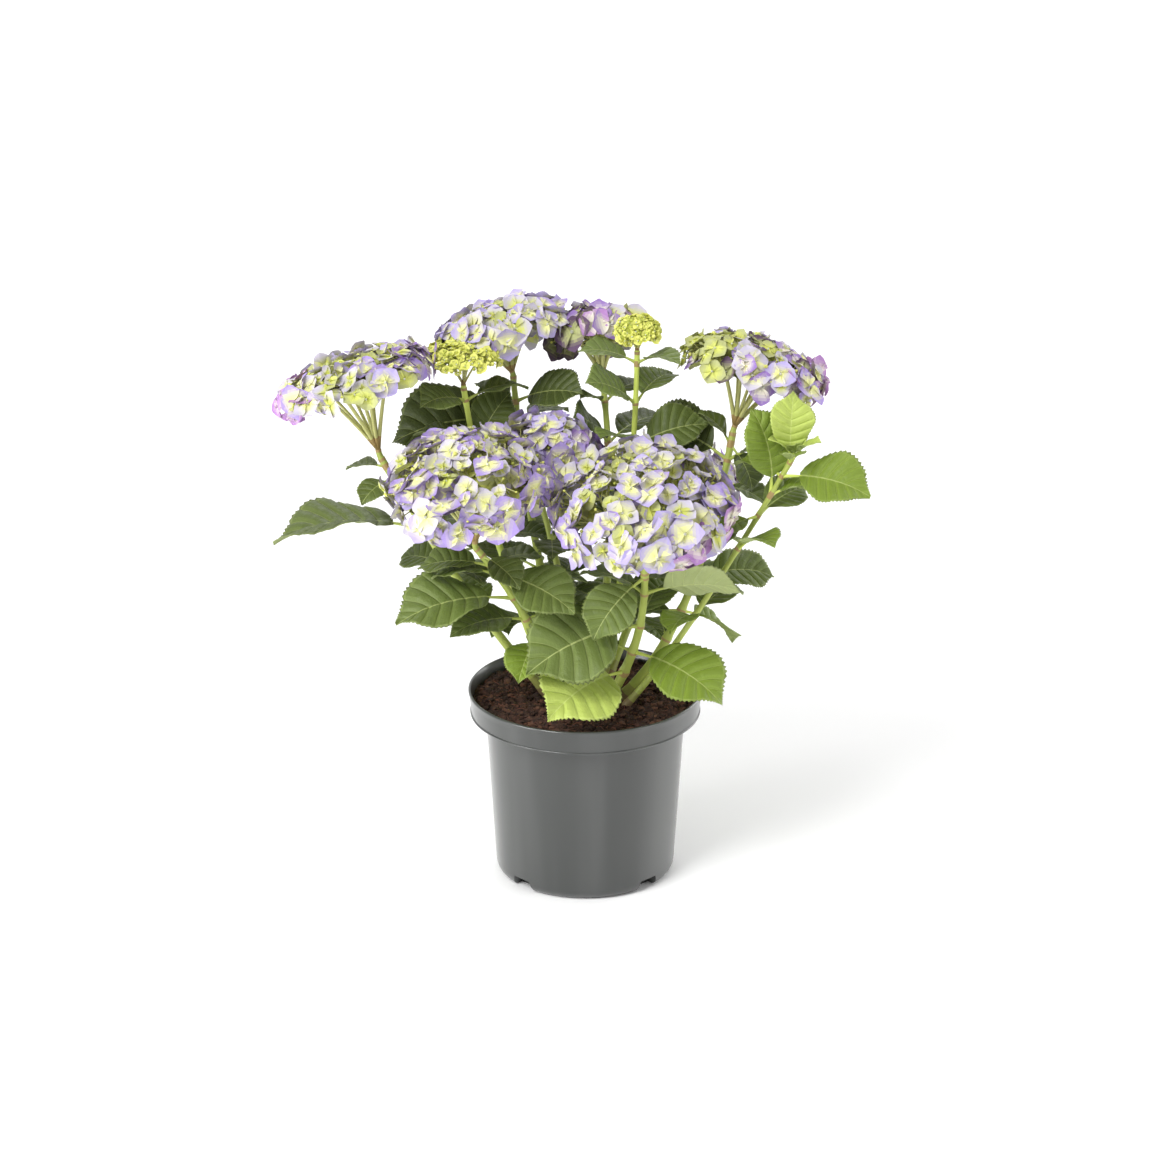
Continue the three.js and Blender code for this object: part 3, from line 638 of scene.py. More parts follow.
def half_width(size, share):
    """Half width of a blade at a share of its own length"""
    widest = BLADE_FOOT / (BLADE_FOOT + BLADE_TIP)
    peak = widest**BLADE_FOOT * (1 - widest) ** BLADE_TIP
    share = np.clip(share, 0, 1)
    return BLADE_WIDTH * (1 - PETIOLE_SHARE) * size * share**BLADE_FOOT * (1 - share) ** BLADE_TIP / peak


class Leaf:
    """A leaf whose midrib is an arc in an upright plane that falls by its sag from base to tip"""

    def __init__(self, base, turn, rise, size, roll, sag, tone):
        self.base, self.size, self.tone = base, size, tone
        self.turn, self.rise, self.roll, self.sag = map(math.radians, (turn, rise, roll, sag))
        share = np.arange(10) * 0.1 + 0.05
        self.frames = self.frame(self.on_leaf(share))
        self.halves = half_width(size, share)
        self.middle = self.frame(np.array([0.6]))[0][0]
        steps = math.ceil(size / 6)
        share = np.arange(1, steps + 1) / steps
        centre, _, side, face = self.frame(self.on_leaf(share))
        across = np.array([-1, -0.5, 0, 0.5, 1])[None, :, None]
        half = half_width(size, share)[:, None, None]
        spread = side[:, None] * across + face[:, None] * np.abs(across) * FOLD
        self.points = (centre[:, None] + spread * half).reshape(-1, 3)

    @staticmethod
    def on_leaf(share):
        return PETIOLE_SHARE + (1 - PETIOLE_SHARE) * share

    def frame(self, share):
        """Centre, direction, side and face of the leaf at each share of its length"""
        start = self.rise + self.sag / 2
        pitch = start - self.sag * share
        out = self.size * (np.sin(start) - np.sin(pitch)) / self.sag
        up = self.size * (np.cos(pitch) - np.cos(start)) / self.sag
        heading = np.array([math.cos(self.turn), math.sin(self.turn), 0])
        level = np.array([-math.sin(self.turn), math.cos(self.turn), 0])
        centre = self.base + out[..., None] * heading + up[..., None] * UP
        along = np.cos(pitch)[..., None] * heading + np.sin(pitch)[..., None] * UP
        side = level * math.cos(self.roll) + np.cross(along, level) * math.sin(self.roll)
        return centre, along, side, np.cross(along, side)

    def touched_by(self, points):
        """Whether any of the points lies within the gap that the blade keeps clear"""
        points = points[np.linalg.norm(points - self.middle, axis=1) <= self.size * LEAF_REACH]
        if not len(points):
            return False
        centre, along, side, face = self.frames
        offset = points[:, None] - centre[None]
        beside = np.abs((offset * along).sum(-1)) <= self.size * 0.06
        across = np.abs((offset * side).sum(-1))
        beside &= across <= self.halves + CLEAR / 2
        return bool((beside & (np.abs((offset * face).sum(-1) - across * FOLD) < CLEAR)).any())


def is_free(leaf, placed, spine, thickness, heads):
    """Whether a leaf clears the soil, the pot, the heads, the canes and the leaves placed before it"""
    points = leaf.points
    over_soil = np.hypot(points[:, 0], points[:, 1]) < COLLAR_FOOT_RADIUS - WALL * 3
    if (points[:, 2] < np.where(over_soil, SOIL_TOP, POT_HEIGHT) + CLEAR).any():
        return False
    if any(head.holds(points, HEAD_CLEAR).any() for head in heads):
        return False
    if (np.linalg.norm(points[:, None] - spine[None], axis=-1) < thickness + CLEAR).any():
        return False
    near = [other for other in placed
            if np.linalg.norm(other.middle - leaf.middle) < (other.size + leaf.size) * LEAF_REACH]
    return not any(other.touched_by(points) or leaf.touched_by(other.points) for other in near)


def settle(wish, placed, spine, thickness, heads):
    """A leaf that would touch something is turned aside in small steps, and left out if no step is free"""
    base, turn, rise, size, roll, sag, tone = wish
    for lift in RISE_STEPS:
        for swing in TURN_STEPS:
            leaf = Leaf(base, turn + swing, rise + lift, size, roll, sag, tone)
            if is_free(leaf, placed, spine, thickness, heads):
                placed.append(leaf)
                return leaf
    return None


def grow():
    """All canes with their leaves, main leaves before the opposite ones"""
    canes = [Cane(name, row) for name, row in CANES.items()]
    spine = np.concatenate([cane.spine for cane in canes])
    thickness = np.concatenate([cane.thickness for cane in canes])
    heads = [cane.head for cane in canes if cane.head]
    placed = []
    for partner in (False, True):
        for cane in canes:
            draw = seeded(len(cane.name) * 97 + len(cane.pairs) * 13 + (7 if partner else 0))
            for number, (share, turn, rise, length, roll, opposite) in enumerate(cane.pairs):
                jitter = next(draw) - 0.5
                wish = (cane.at(share), turn, rise, length, roll, SAG, cane.tones[number])
                if partner:
                    aside = turn + 180 + jitter * PARTNER_SWING
                    wish = (cane.at(share), aside, abs(rise) / 2, opposite, 0, PARTNER_SAG, cane.partner_tone)
                leaf = settle(wish, placed, spine, thickness, heads)
                if leaf:
                    cane.leaves.append(leaf)
    return canes


CROWN = {}


def crown():
    """The grown canes, worked out once and shared by the operators"""
    if not CROWN:
        CROWN["canes"] = grow()
    return CROWN["canes"]


# Pieces

def revolve(heap, profile, sides, key, waver):
    """A profile of (radius, height) turned round the pot's axis, with its ends closed on the axis"""
    profile = np.array(profile, float)
    radius = np.repeat(profile[:, :1], sides, axis=1)
    radius = radius + waver(radius, profile[:, 1:], turns(sides))
    rings = round_axis(radius, turns(sides), profile[:, 1:]).reshape(-1, 3)
    poles = [(0, 0, profile[0, 1]), (0, 0, profile[-1, 1])]
    heap.add(np.concatenate([rings, poles]), grid_faces(len(profile), sides, closed=True), key)
    first = np.arange(sides)
    fans = [fan(first, len(rings))[:, [1, 0, 2]], fan(first + len(rings) - sides, len(rings) + 1)]
    heap.faces.append(np.concatenate(fans) + heap.count - len(rings) - 2)
    heap.keys.append(np.full(2 * sides, key, object))


def arc(centre, radius, first, last, steps):
    """Points of a rounding in a profile, with angles in degrees from outward"""
    angle = np.radians(np.linspace(first, last, steps))
    return [(centre[0] + radius * math.cos(a), centre[1] + radius * math.sin(a)) for a in angle]


def straight(start, end, steps):
    """Points of a straight stretch in a profile, both ends included"""
    return [tuple(point) for point in np.linspace(start, end, steps)]


def pot_profile():
    """Half section of the pot, from under its foot over the rim and down the inside to its floor"""
    collar_foot = POT_HEIGHT - COLLAR_DEPTH
    middle = FOOT_RADIUS - 30
    profile = [(middle, 0), (FOOT_RADIUS, 0)]
    profile += [(FOOT_RADIUS + (BASE_RADIUS - FOOT_RADIUS) * math.sin(a), CORNER * (1 - math.cos(a)))
                for a in np.radians(np.linspace(12, 90, 7))]
    profile += straight((BASE_RADIUS, CORNER), (NECK_RADIUS - 0.6, collar_foot - 5), 26)[1:]
    profile += [(NECK_RADIUS + 0.4, collar_foot - 1.2), (NECK_RADIUS + 1.6, collar_foot - 0.2)]
    profile += [(COLLAR_FOOT_RADIUS - 1.4, collar_foot - 0.2)]
    profile += arc((COLLAR_FOOT_RADIUS - 0.2, collar_foot + 0.9), COLLAR_BEAD, -90, 80, 7)
    profile += straight((COLLAR_FOOT_RADIUS, collar_foot + 2.2), (RIM_RADIUS - 1, POT_HEIGHT - 5.6), 7)
    profile += arc((RIM_RADIUS - LIP_ROLL, POT_HEIGHT - LIP_ROLL), LIP_ROLL, -20, 100, 7)
    profile += [(RIM_RADIUS - WALL - 0.4, POT_HEIGHT - 1.2)]
    profile += [(COLLAR_FOOT_RADIUS - WALL, collar_foot + WALL + 1), (NECK_RADIUS - WALL, collar_foot + WALL)]
    profile += [(BASE_RADIUS - WALL, HAUNCH_HEIGHT), (HAUNCH_RADIUS, FLOOR), (HAUNCH_RADIUS - 30, FLOOR)]
    return profile


def notched(piece):
    """Cuts the drainage notches out of the pot's foot"""
    cutter = Heap()
    depth = RIM_RADIUS - NOTCH_INNER_RADIUS
    outline = [(-NOTCH_FOOT_WIDTH / 2, -1), (NOTCH_FOOT_WIDTH / 2, -1), (NOTCH_TOP_WIDTH / 2, NOTCH_HEIGHT),
               (-NOTCH_TOP_WIDTH / 2, NOTCH_HEIGHT)]
    for number in range(NOTCH_COUNT):
        turn = math.radians(NOTCH_TURN + 360 / NOTCH_COUNT * number)
        out = np.array([math.cos(turn), math.sin(turn), 0])
        side = np.cross(UP, out)
        corners = [out * (NOTCH_INNER_RADIUS + reach) + side * x + UP * z
                   for reach in (0, depth) for x, z in outline]
        faces = [(0, 1, 2, 3), (7, 6, 5, 4), (0, 4, 5, 1), (1, 5, 6, 2), (2, 6, 7, 3), (3, 7, 4, 0)]
        cutter.add(corners, np.array(faces)[:, ::-1], "pot plastic")
    mesh = bpy.data.meshes.new("notch_tools")
    mesh.from_pydata([tuple(p) for p in np.concatenate(cutter.points) * MM], [],
                     [tuple(f) for f in np.concatenate(cutter.faces)])
    tool = add_object("notch_tools", mesh)
    cut = piece.modifiers.new("notches", "BOOLEAN")
    cut.operation, cut.object, cut.solver = "DIFFERENCE", tool, "EXACT"
    graph = bpy.context.evaluated_depsgraph_get()
    whole = bpy.data.meshes.new_from_object(piece.evaluated_get(graph))
    whole.set_sharp_from_angle(angle=math.radians(40))
    piece.modifiers.clear()
    piece.data = whole
    bpy.data.objects.remove(tool)


class HYDRANGEA_OT_pot(bpy.types.Operator):
    """Turns the pot, rounds its rim and foot and cuts its notches"""

    bl_idname = "hydrangea.pot"
    bl_label = "Pot"

    def execute(self, context):
        look = context.scene.hydrangea_pot
        plastic = tuple(look.colour)
        finish("pot plastic", plastic, look.roughness, grains=90, bump=0.05, depth=0.0003, spread=0.06,
               stretch=0.06, second=mixed(plastic, WHITE, 0.024),
               Specular_IOR_Level=0.6, Coat_Weight=0.75, Coat_Roughness=0.16)
        ripple = look.ripple / MM

        def waver(radius, height, angle):
            """The moulded wall is never quite round, but the foot is"""
            wall = np.clip(radius - BASE_RADIUS + 2, 0, 2) / 2
            slow = np.sin(angle * 3 + 0.7) + 0.6 * np.sin(angle * 7 + height * 0.01)
            return wall * ripple * (slow + 0.4 * np.sin(angle * 13))

        heap = Heap()
        revolve(heap, pot_profile(), look.sides, "pot plastic", waver)
        pot = heap.build("nursery_pot", "pot", ["pot"])
        notched(pot)
        return {"FINISHED"}


class HYDRANGEA_OT_soil(bpy.types.Operator):
    """Lays the potting mix with its lumps and loose crumbs"""

    bl_idname = "hydrangea.soil"
    bl_label = "Potting mix"

    def execute(self, context):
        look = context.scene.hydrangea_soil
        peat = tuple(look.colour)
        finish("peat", peat, 0.95, grains=700, bump=0.9, depth=0.0012, spread=0.04,
               second=mixed(peat, BLACK, 0.6))
        for name, colour, roughness, depth in (
                ("peat light", mixed(peat, paint(118, 80, 60), 0.4), 0.95, 0.0008),
                ("peat fibre", mixed(peat, paint(150, 92, 66), 0.5), 0.85, 0.0004),
                ("peat dark", mixed(peat, BLACK, 0.55), 0.95, 0.0008)):
            finish(name, colour, roughness, grains=900, bump=0.9, depth=depth, spread=0.04)
        heap = Heap()
        edge = COLLAR_FOOT_RADIUS - WALL + 0.6
        self.surface(heap, look, edge)
        self.scatter(heap, look, edge)
        self.strands(heap, look, edge)
        heap.build("potting_mix", "soil", ["soil"], smooth=False)
        return {"FINISHED"}

    @staticmethod
    def level(share):
        """Height of the peat at a share of its radius, level in the middle and lower by the wall"""
        past = np.clip((share - SOIL_LEVEL_SHARE) / (1 - SOIL_LEVEL_SHARE), 0, 1)
        return SOIL_TOP - (SOIL_TOP - SOIL_EDGE) * past**1.5

    @classmethod
    def surface(cls, heap, look, edge, rings=74, sides=200):
        """Lumpy top of the peat, with a skirt down the wall"""
        share = np.linspace(0.004, 1, rings)
        points = round_axis((share * edge)[:, None], turns(sides), cls.level(share)[:, None] - 0.8)
        lump = np.array([noise.fractal(Vector((x * 0.09, y * 0.09, 3.1)), 0.7, 2.2, 5)
                         for x, y, _ in points.reshape(-1, 3)]).reshape(rings, sides)
        points[..., 2] += np.clip(lump, -1.2, 1.2) * (look.relief / MM * 0.8)
        skirt = points[-1:].copy()
        skirt[..., 2] = SOIL_EDGE - SOIL_DEPTH
        points = np.concatenate([points, skirt])
        heap.add(points, grid_faces(rings + 1, sides, closed=True)[:, ::-1], "peat")

    @classmethod
    def scatter(cls, heap, look, edge):
        """Loose crumbs of uneven shape, half sunk"""
        rng = np.random.default_rng(11)
        count = look.crumbs
        size = look.crumb / MM * (0.25 + 0.75 * rng.random(count) ** 3)
        reach = np.sqrt(rng.random(count)) * (edge - 4)
        turn = rng.random(count) * 2 * math.pi
        centre = round_axis(reach, turn, cls.level(reach / edge) - 1 + rng.normal(0, 1.0, count))
        lump = np.array([(1, 0, 0), (0, 1, 0), (-1, 0, 0), (0, -1, 0), (0.6, 0.6, 0.7), (-0.6, 0.6, 0.7),
                         (-0.6, -0.6, 0.7), (0.6, -0.6, 0.7), (0, 0, 1.0), (0, 0, -0.8)])
        faces = []
        for side in range(4):
            after = (side + 1) % 4
            faces += [(side, after, 4 + side), (4 + side, 4 + after, 8), (after, 4 + after, 4 + side),
                      (after, side, 9)]
        shapes = lump[None] * (1 + rng.normal(0, 0.22, (count, 10, 3)))
        spin = rng.random((count, 1)) * 2 * math.pi
        shapes = rotated(shapes[..., 0], shapes[..., 1], shapes[..., 2] * 0.7, spin)
        points = centre[:, None] + shapes * size[:, None, None]
        tones = rng.choice(["peat", "peat light", "peat dark"], count, p=[0.5, 0.26, 0.24])
        heap.add(points, copies(np.array(faces), count, len(lump)), np.repeat(tones, len(faces)))

    @classmethod
    def strands(cls, heap, look, edge):
        """Short fibres that lie on the peat"""
        rng = np.random.default_rng(12)
        count = look.fibres
        reach, turn = np.sqrt(rng.random(count)) * (edge - 12), rng.random(count) * 2 * math.pi
        start = round_axis(reach, turn, cls.level(reach / edge) + 0.2)
        way = rng.random(count) * 2 * math.pi
        run = round_axis(1, way, rng.uniform(-0.12, 0.2, count)) * rng.uniform(4, 10, (count, 1))
        bow = start + run / 2 + rng.normal(0, 1.2, (count, 3)) + UP
        tubes(heap, curve(start, bow, start + run, 4), np.full((count, 4), 0.32), 4,
              rng.choice(["peat light", "peat fibre"], (count, 1)))


def bark_keys(cane, share, nodes_at, tone):
    """Bark tone of each ring: woody at the foot, blushed at the nodes"""
    keys = np.full(share.shape, tone, object)
    keys[share < 0.1] = "bark foot"
    keys[share < 0.05] = "bark woody"
    for at in nodes_at:
        keys[np.abs(share - at) * cane.length < 2.2] = "bark blush"
    return keys


class HYDRANGEA_OT_canes(bpy.types.Operator):
    """Grows the canes with their ridges, swollen nodes and taper"""

    bl_idname = "hydrangea.canes"
    bl_label = "Canes"

    def execute(self, context):
        look = context.scene.hydrangea_canes
        foot = mixed(look.green, look.woody, 0.5)
        for name, colour in (("green", look.green), ("pale", look.pale), ("stalk", look.stalk),
                             ("blush", look.blush), ("woody", look.woody), ("foot", foot)):
            finish(f"bark {name}", tuple(colour), 0.5, grains=900, bump=0.35, depth=0.0006, stretch=0.35)
        canes = crown()
        heap = Heap()
        for number, cane in enumerate(canes):
            self.cane(heap, look, cane, number)
        heap.build("canes", "stems", [f"stem_{cane.name}" for cane in canes])
        return {"FINISHED"}

    @staticmethod
    def cane(heap, look, cane, number):
        """One cane with a ring for every step of its length, sunk a little way into the peat"""
        steps = round(cane.length * MM / look.ring_step)
        share = np.linspace(0, 1, steps + 1)
        radius = cane.radius_at(share) * 0.96
        nodes_at = [pair[0] for pair in cane.pairs] + ([1.0] if cane.head else [])
        for at in nodes_at:
            radius = radius * (1 + look.swelling * np.exp(-(((share - at) * cane.length / 4.5) ** 2)))
        sides = 14
        angle = turns(sides)
        ridges = (1 + 0.035 * np.sin(angle * 6 + number)[None] + 0.02 * np.sin(angle * 3 + share[:, None] * 9)
                  + 0.015 * np.sin(share[:, None] * cane.length * 0.35 + angle[None] * 2))
        path = cane.at(share)
        path[0, 2] -= 4
        rings = radius[:, None] * ridges
        tone = "bark pale" if cane.name.startswith("bud") else "bark green"
        keys = bark_keys(cane, (share[1:] + share[:-1]) / 2, nodes_at, tone)
        if cane.head:
            path, rings, keys = with_top(cane, path, rings, keys)
        tubes(heap, path[None], rings[None], sides, keys[None])


def with_top(cane, path, rings, keys):
    """Adds the last stretch of a cane, from its hub to the fork of its flower stalks"""
    head = cane.head
    tangent = unit(cane.end - cane.handle)
    reach = np.linalg.norm(head.fork - cane.end)
    share = np.linspace(0, 1, 8)[1:, None]
    bend = cane.end + tangent * reach / 2
    more = between(cane.end, bend, head.fork, share)
    path = np.concatenate([path, more])
    swell = 1 - 0.12 * share + 0.3 * np.maximum(0, share - 0.7)
    rings = np.concatenate([rings, rings[-1:] / 1.2 * swell])
    tail = np.full(len(more), keys[len(keys) // 2], object)
    tail[-2:] = "bark blush"
    return path, rings, np.concatenate([keys, tail])


def leaf_materials(look):
    """Seven colours of each leaf tone, one for each part of a blade; the shade part is the blade darkened as
    painted shade between the veins
    """
    vein, under = tuple(look.vein_colour), tuple(look.under_colour)
    for tone, blade in LEAF_TONES.items():
        colours = {
            "rib": mixed(blade, vein, 0.45),
            "vein": mixed(blade, vein, 0.2),
            "blade": mixed(blade, vein, 0.02),
            # Painted shade: the blade darkened in bands between the side veins, standing in for the shading
            # of the quilted blade
            "shade": mixed(blade, BLACK, 0.1),
            "edge": mixed(blade, vein, 0.12),
            "under": mixed(blade, under, 0.5),
            "under_vein": mixed(mixed(blade, under, 0.5), vein, 0.4),
        }
        for part, colour in colours.items():
            matt = 0.62 if part.startswith("under") else 0.48
            finish(f"leaf {tone} {part}", colour, matt, grains=900, bump=0.5, depth=0.0009,
                   Specular_IOR_Level=0.34)


class BladeGrid:
    """The sheared grid of a blade, whose rows run along the side veins"""

    def __init__(self, veins, small):
        """Rows stand close on both sides of each vein, and the two middle columns are the rib"""
        inner = np.array(SMALL_LEAF_ROWS if small else LEAF_ROWS)
        even = np.arange(len(inner)) / len(inner)
        columns = np.array(LEAF_COLUMNS)
        number = np.append(np.repeat(np.arange(veins), len(inner)), veins)[:, None]
        inner = np.append(np.tile(inner, veins), 0)[:, None]
        even = np.append(np.tile(even, veins), 0)[:, None]
        across = np.abs(columns)[None]
        narrow = 1 - 0.4 * across
        squeezed = np.where(inner < 0.2, inner * narrow, inner)
        squeezed = np.where(inner > 0.8, 1 - (1 - inner) * narrow, squeezed)
        self.part = np.where(across > 0.99, even, squeezed)
        self.progress = np.clip((number + self.part) / veins, 0.004, 0.996)
        self.across = np.repeat(columns[None], len(number), axis=0)
        self.rows, self.width = len(number), len(columns)
        self.per_vein = len(SMALL_LEAF_ROWS if small else LEAF_ROWS)
        self.rib = across < 0.05
        self.tooth = (np.arange(self.rows)[:, None] % 2 == 1) & (across > 0.99)
        self.faces = grid_faces(self.rows, self.width)
        self.under = self.underside_numbers()
        self.keys = self.parts()

    def underside_numbers(self):
        """Points of the underside, which shares its margin with the upper side"""
        numbers = np.arange(self.rows * self.width).reshape(self.rows, self.width)
        inner = numbers[:, 1:-1]
        numbers[:, 1:-1] = self.rows * self.width + np.arange(inner.size).reshape(inner.shape)
        return numbers.reshape(-1)

    def parts(self):
        """Part of the blade that each face of the upper side and of the underside belongs to; the shade part
        is painted shade between the veins
        """
        row = np.arange(self.rows - 1)[:, None] % self.per_vein
        column = np.arange(self.width - 1)[None]
        on_vein = ((row == 0) | (row == self.per_vein - 1)) & (column > 0) & (column < self.width - 2)
        # Rows 2 and 3 between each pair of side veins take the darker shade colour, painted shade of the
        # quilting
        upper = np.where(on_vein, "vein", np.where((row == 2) | (row == 3), "shade", "blade"))
        upper[:, [0, -1]] = "edge"
        upper[:, self.width // 2 - 1] = "rib"
        lower = np.where(on_vein, "under_vein", "under")
        lower[:, self.width // 2 - 1] = "under_vein"
        return upper.reshape(-1), lower.reshape(-1)


GRIDS = {}


def blade_outline(size, share):
    """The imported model's outline, drawn out to a finer tip"""
    tip = np.clip((share - 0.78) / 0.22, 0, 1) ** 0.8
    fuller = 0.06 * np.sin(math.pi * np.clip((share - 0.35) / 0.5, 0, 1))
    return np.maximum(half_width(size, share) * (1 + fuller - 0.62 * tip), 0.25)


def blade(heap, look, leaf, draw):
    """One leaf blade: quilted between its veins, toothed at its edge and closed underneath"""
    small = leaf.size < SMALL_LEAF
    if small not in GRIDS:
        GRIDS[small] = BladeGrid(look.veins - 2 if small else look.veins, small)
    grid, size = GRIDS[small], leaf.size
    across, side_of = grid.across, np.sign(grid.across)
    # Side veins run forward to the margin
    end = grid.progress + 0.2 * np.sin(math.pi * grid.progress)
    share = grid.progress + (end - grid.progress) * np.abs(across) ** 1.2
    half = blade_outline(size, end)
    keep = np.minimum(1, half / (size * 0.12))
    rib = np.clip(size * 0.009 * (1.15 - share), 0.25, 1.2)
    offset = np.where(grid.rib, side_of * np.minimum(rib, half * 0.3), across * half)
    offset = offset + side_of * np.where(grid.tooth, look.tooth * size * (0.7 + 0.6 * next(draw)) * keep, 0)
    share = np.clip(share + np.where(grid.tooth, 0.012, 0), 0, 1)
    # Each blade waves, curls, twists and folds by its own draws
    phase, wave, curl = next(draw) * 6, 0.018 + 0.016 * next(draw), 0.02 + 0.05 * next(draw)
    twist, fold = (next(draw) - 0.5) * 0.6, FOLD + 0.16 * (next(draw) - 0.3)
    # The blade rises between its veins
    puff = np.sin(math.pi * np.clip(grid.part, 0, 1)) ** 0.55
    puff = puff * np.sqrt(np.clip(4 * np.abs(across) * (1.04 - np.abs(across)), 0, 1))
    lift = np.abs(offset) * fold + look.quilt * size * puff * keep
    lift += size * wave * np.sin(phase + share * 11 + side_of) * across**2
    lift += offset * twist * share**2 - size * curl * share**4
    centre, _, side, face = leaf.frame(leaf.on_leaf(share))
    top = centre + side * offset[..., None] + face * lift[..., None]
    # Veins stand proud underneath
    keel = np.where(grid.rib, 0.9 * (1.1 - share), 0) * size / 90
    keel += 0.3 * (puff < 0.4) * (np.abs(across) < 0.9)
    below = top - face * (look.thickness / MM + keel)[..., None]
    upper, lower = (np.array([f"leaf {leaf.tone} {part}" for part in parts], object) for parts in grid.keys)
    faces = np.concatenate([grid.faces[:, ::-1], grid.under[grid.faces]])
    points = np.concatenate([top.reshape(-1, 3), below[:, 1:-1].reshape(-1, 3)])
    heap.add(points, faces, np.concatenate([upper, lower]))


def petiole(heap, leaf, key):
    """The stalk of a leaf, from inside its cane to the foot of the blade"""
    share = np.linspace(0, PETIOLE_SHARE + 0.03, 8)
    centre, _, _, face = leaf.frame(share)
    centre = centre - face * 0.5
    radius = np.interp(share, [0, 0.05, PETIOLE_SHARE + 0.03], [2.6, 1.9, 1.1]) * (0.75 + leaf.size / 400)
    tubes(heap, centre[None], radius[None], 8, key)


def tip_leaves(cane):
    """Small young leaves in a whorl at the end of a cane that carries no head"""
    if cane.head:
        return []
    return [Leaf(cane.end, number * math.degrees(GOLDEN), 66 - 6 * number, 15 + 4.5 * number, 0, 40, "lime")
            for number in range(TIP_LEAVES)]


class HYDRANGEA_OT_foliage(bpy.types.Operator):
    """Grows every leaf with veins, quilting and teeth, one piece to a cane, and their stalks"""

    bl_idname = "hydrangea.foliage"
    bl_label = "Leaves"

    def execute(self, context):
        look = context.scene.hydrangea_leaves
        leaf_materials(look)
        stalks = Heap()
        canes = crown()
        for number, cane in enumerate(canes):
            heap = Heap()
            draw = seeded(401 + number)
            for leaf in cane.leaves + tip_leaves(cane):
                blade(heap, look, leaf, draw)
                petiole(stalks, leaf, "bark pale" if leaf.tone in ("lime", "fresh") else "bark green")
            heap.build(f"foliage_{cane.name}", "leaves", [f"leaves_{cane.name}"])
        stalks.build("leaf_stalks", "leaves", [f"leaves_{cane.name}" for cane in canes])
        return {"FINISHED"}


FULL_RUN = np.array([0.04, 0.22, 0.38, 0.54, 0.7, 0.86, 1.0])
FULL_ACROSS = np.array([-1, -0.68, -0.34, 0, 0.34, 0.68, 1])
PLAIN_RUN = np.array([0.04, 0.3, 0.56, 0.8, 1.0])
PLAIN_ACROSS = np.array([-1, -0.5, 0, 0.5, 1])


def petal_materials():
    """Rings of colour for each petal tone, from heart to edge, and the tones of the buds"""
    for tone, (heart, edge) in PETAL_TONES.items():
        first = HEARTS.get(heart) or EDGES[heart]
        for ring, share in enumerate(RING_SHARES):
            colour = mixed(first, EDGES[edge], share)
            finish(f"petal {tone} {ring}", colour, 0.62, grains=1800, bump=0.25, depth=0.0004, spread=0.08,
                   Specular_IOR_Level=0.3)
    for tone, colour in BUD_TONES.items():
        finish(f"bud {tone}", colour, 0.5, grains=1800, bump=0.25, depth=0.0004, spread=0.08)


def floret_shape(rng, bend, frill, run, across):
    """Points of four pointed sepals at unit size, their faces, and the colour ring of each face"""
    points, rings = [], []
    out, cross = np.meshgrid(run, across, indexing="ij")
    middle = ((run[1:] + run[:-1]) / 2)[:, None] + 0.1 * ((across[1:] + across[:-1]) / 2)[None] ** 2
    for number in range(4):
        length = out * (1 + rng.uniform(-0.14, 0.12))
        width = 0.62 + rng.uniform(-0.06, 0.06)
        angle = number * math.pi / 2 + rng.uniform(-0.16, 0.16)
        curve = bend + rng.uniform(-0.34, 0.3)
        curve = curve if abs(curve) > 0.02 else 0.02
        half = width * (1 - np.abs(2 * out - 1.04) ** 1.5)
        wave = np.sin(out * 9 + rng.uniform(0, 6) + cross * 2.5)
        x = np.sin(curve * length) / curve
        z = (1 - np.cos(curve * length)) / curve + 0.05 * (number % 2)
        y = cross * half * (1 + frill * wave)
        z = z + cross**2 * (0.1 + 0.14 * max(bend, 0) + frill * wave) * (1.1 - out)
        z = z + rng.uniform(-0.2, 0.12) * out**3 - 0.03 * (np.abs(cross) < 0.1)
        points.append(rotated(x, y, z, angle).reshape(-1, 3))
        depth = middle + rng.uniform(-0.1, 0.12) + rng.uniform(-0.04, 0.04, middle.shape)
        rings.append(np.searchsorted(RING_EDGES, depth.reshape(-1)))
    faces = copies(grid_faces(len(run), len(across))[:, ::-1], 4, out.size)
    return np.concatenate(points), faces, np.concatenate(rings)


def turned(points, facing, twist, radius, centre):
    """Copies of one shape, each turned to face its own way"""
    side = unit(np.cross([[0.31, 0.95, 0.0]], facing))
    front = np.cross(facing, side)
    spun = side * np.cos(twist)[:, None] + front * np.sin(twist)[:, None]
    third = np.cross(facing, spun)
    turn = np.stack([spun, third, facing], 1)
    return centre[:, None] + np.einsum("pk,nkj->npj", points, turn) * radius[:, None, None]


def scatter_shape(heap, shape, facing, twist, radius, centre, keys):
    """Adds a copy of one shape at each centre"""
    points, faces, _ = shape
    placed = turned(points, facing, twist, radius, centre)
    heap.add(placed, copies(faces, len(centre), len(points)), keys)


def bead_shape():
    """A small round bud with a pointed foot"""
    rings, sides = 4, 6
    polar = np.linspace(0.25, math.pi - 0.25, rings)[:, None]
    points = round_axis(np.sin(polar), turns(sides), np.cos(polar)).reshape(-1, 3)
    points = np.concatenate([points, [(0, 0, 1.05), (0, 0, -1.15)]])
    quads = grid_faces(rings, sides, closed=True)[:, [3, 0, 1, 2]]
    first, top = np.arange(sides), rings * sides
    ends = [fan(first, top), fan(first + top - sides, top + 1)[:, [1, 0, 2]]]
    return points, np.concatenate([quads[:, [0, 1, 2]], quads[:, [0, 2, 3]], *ends]), None


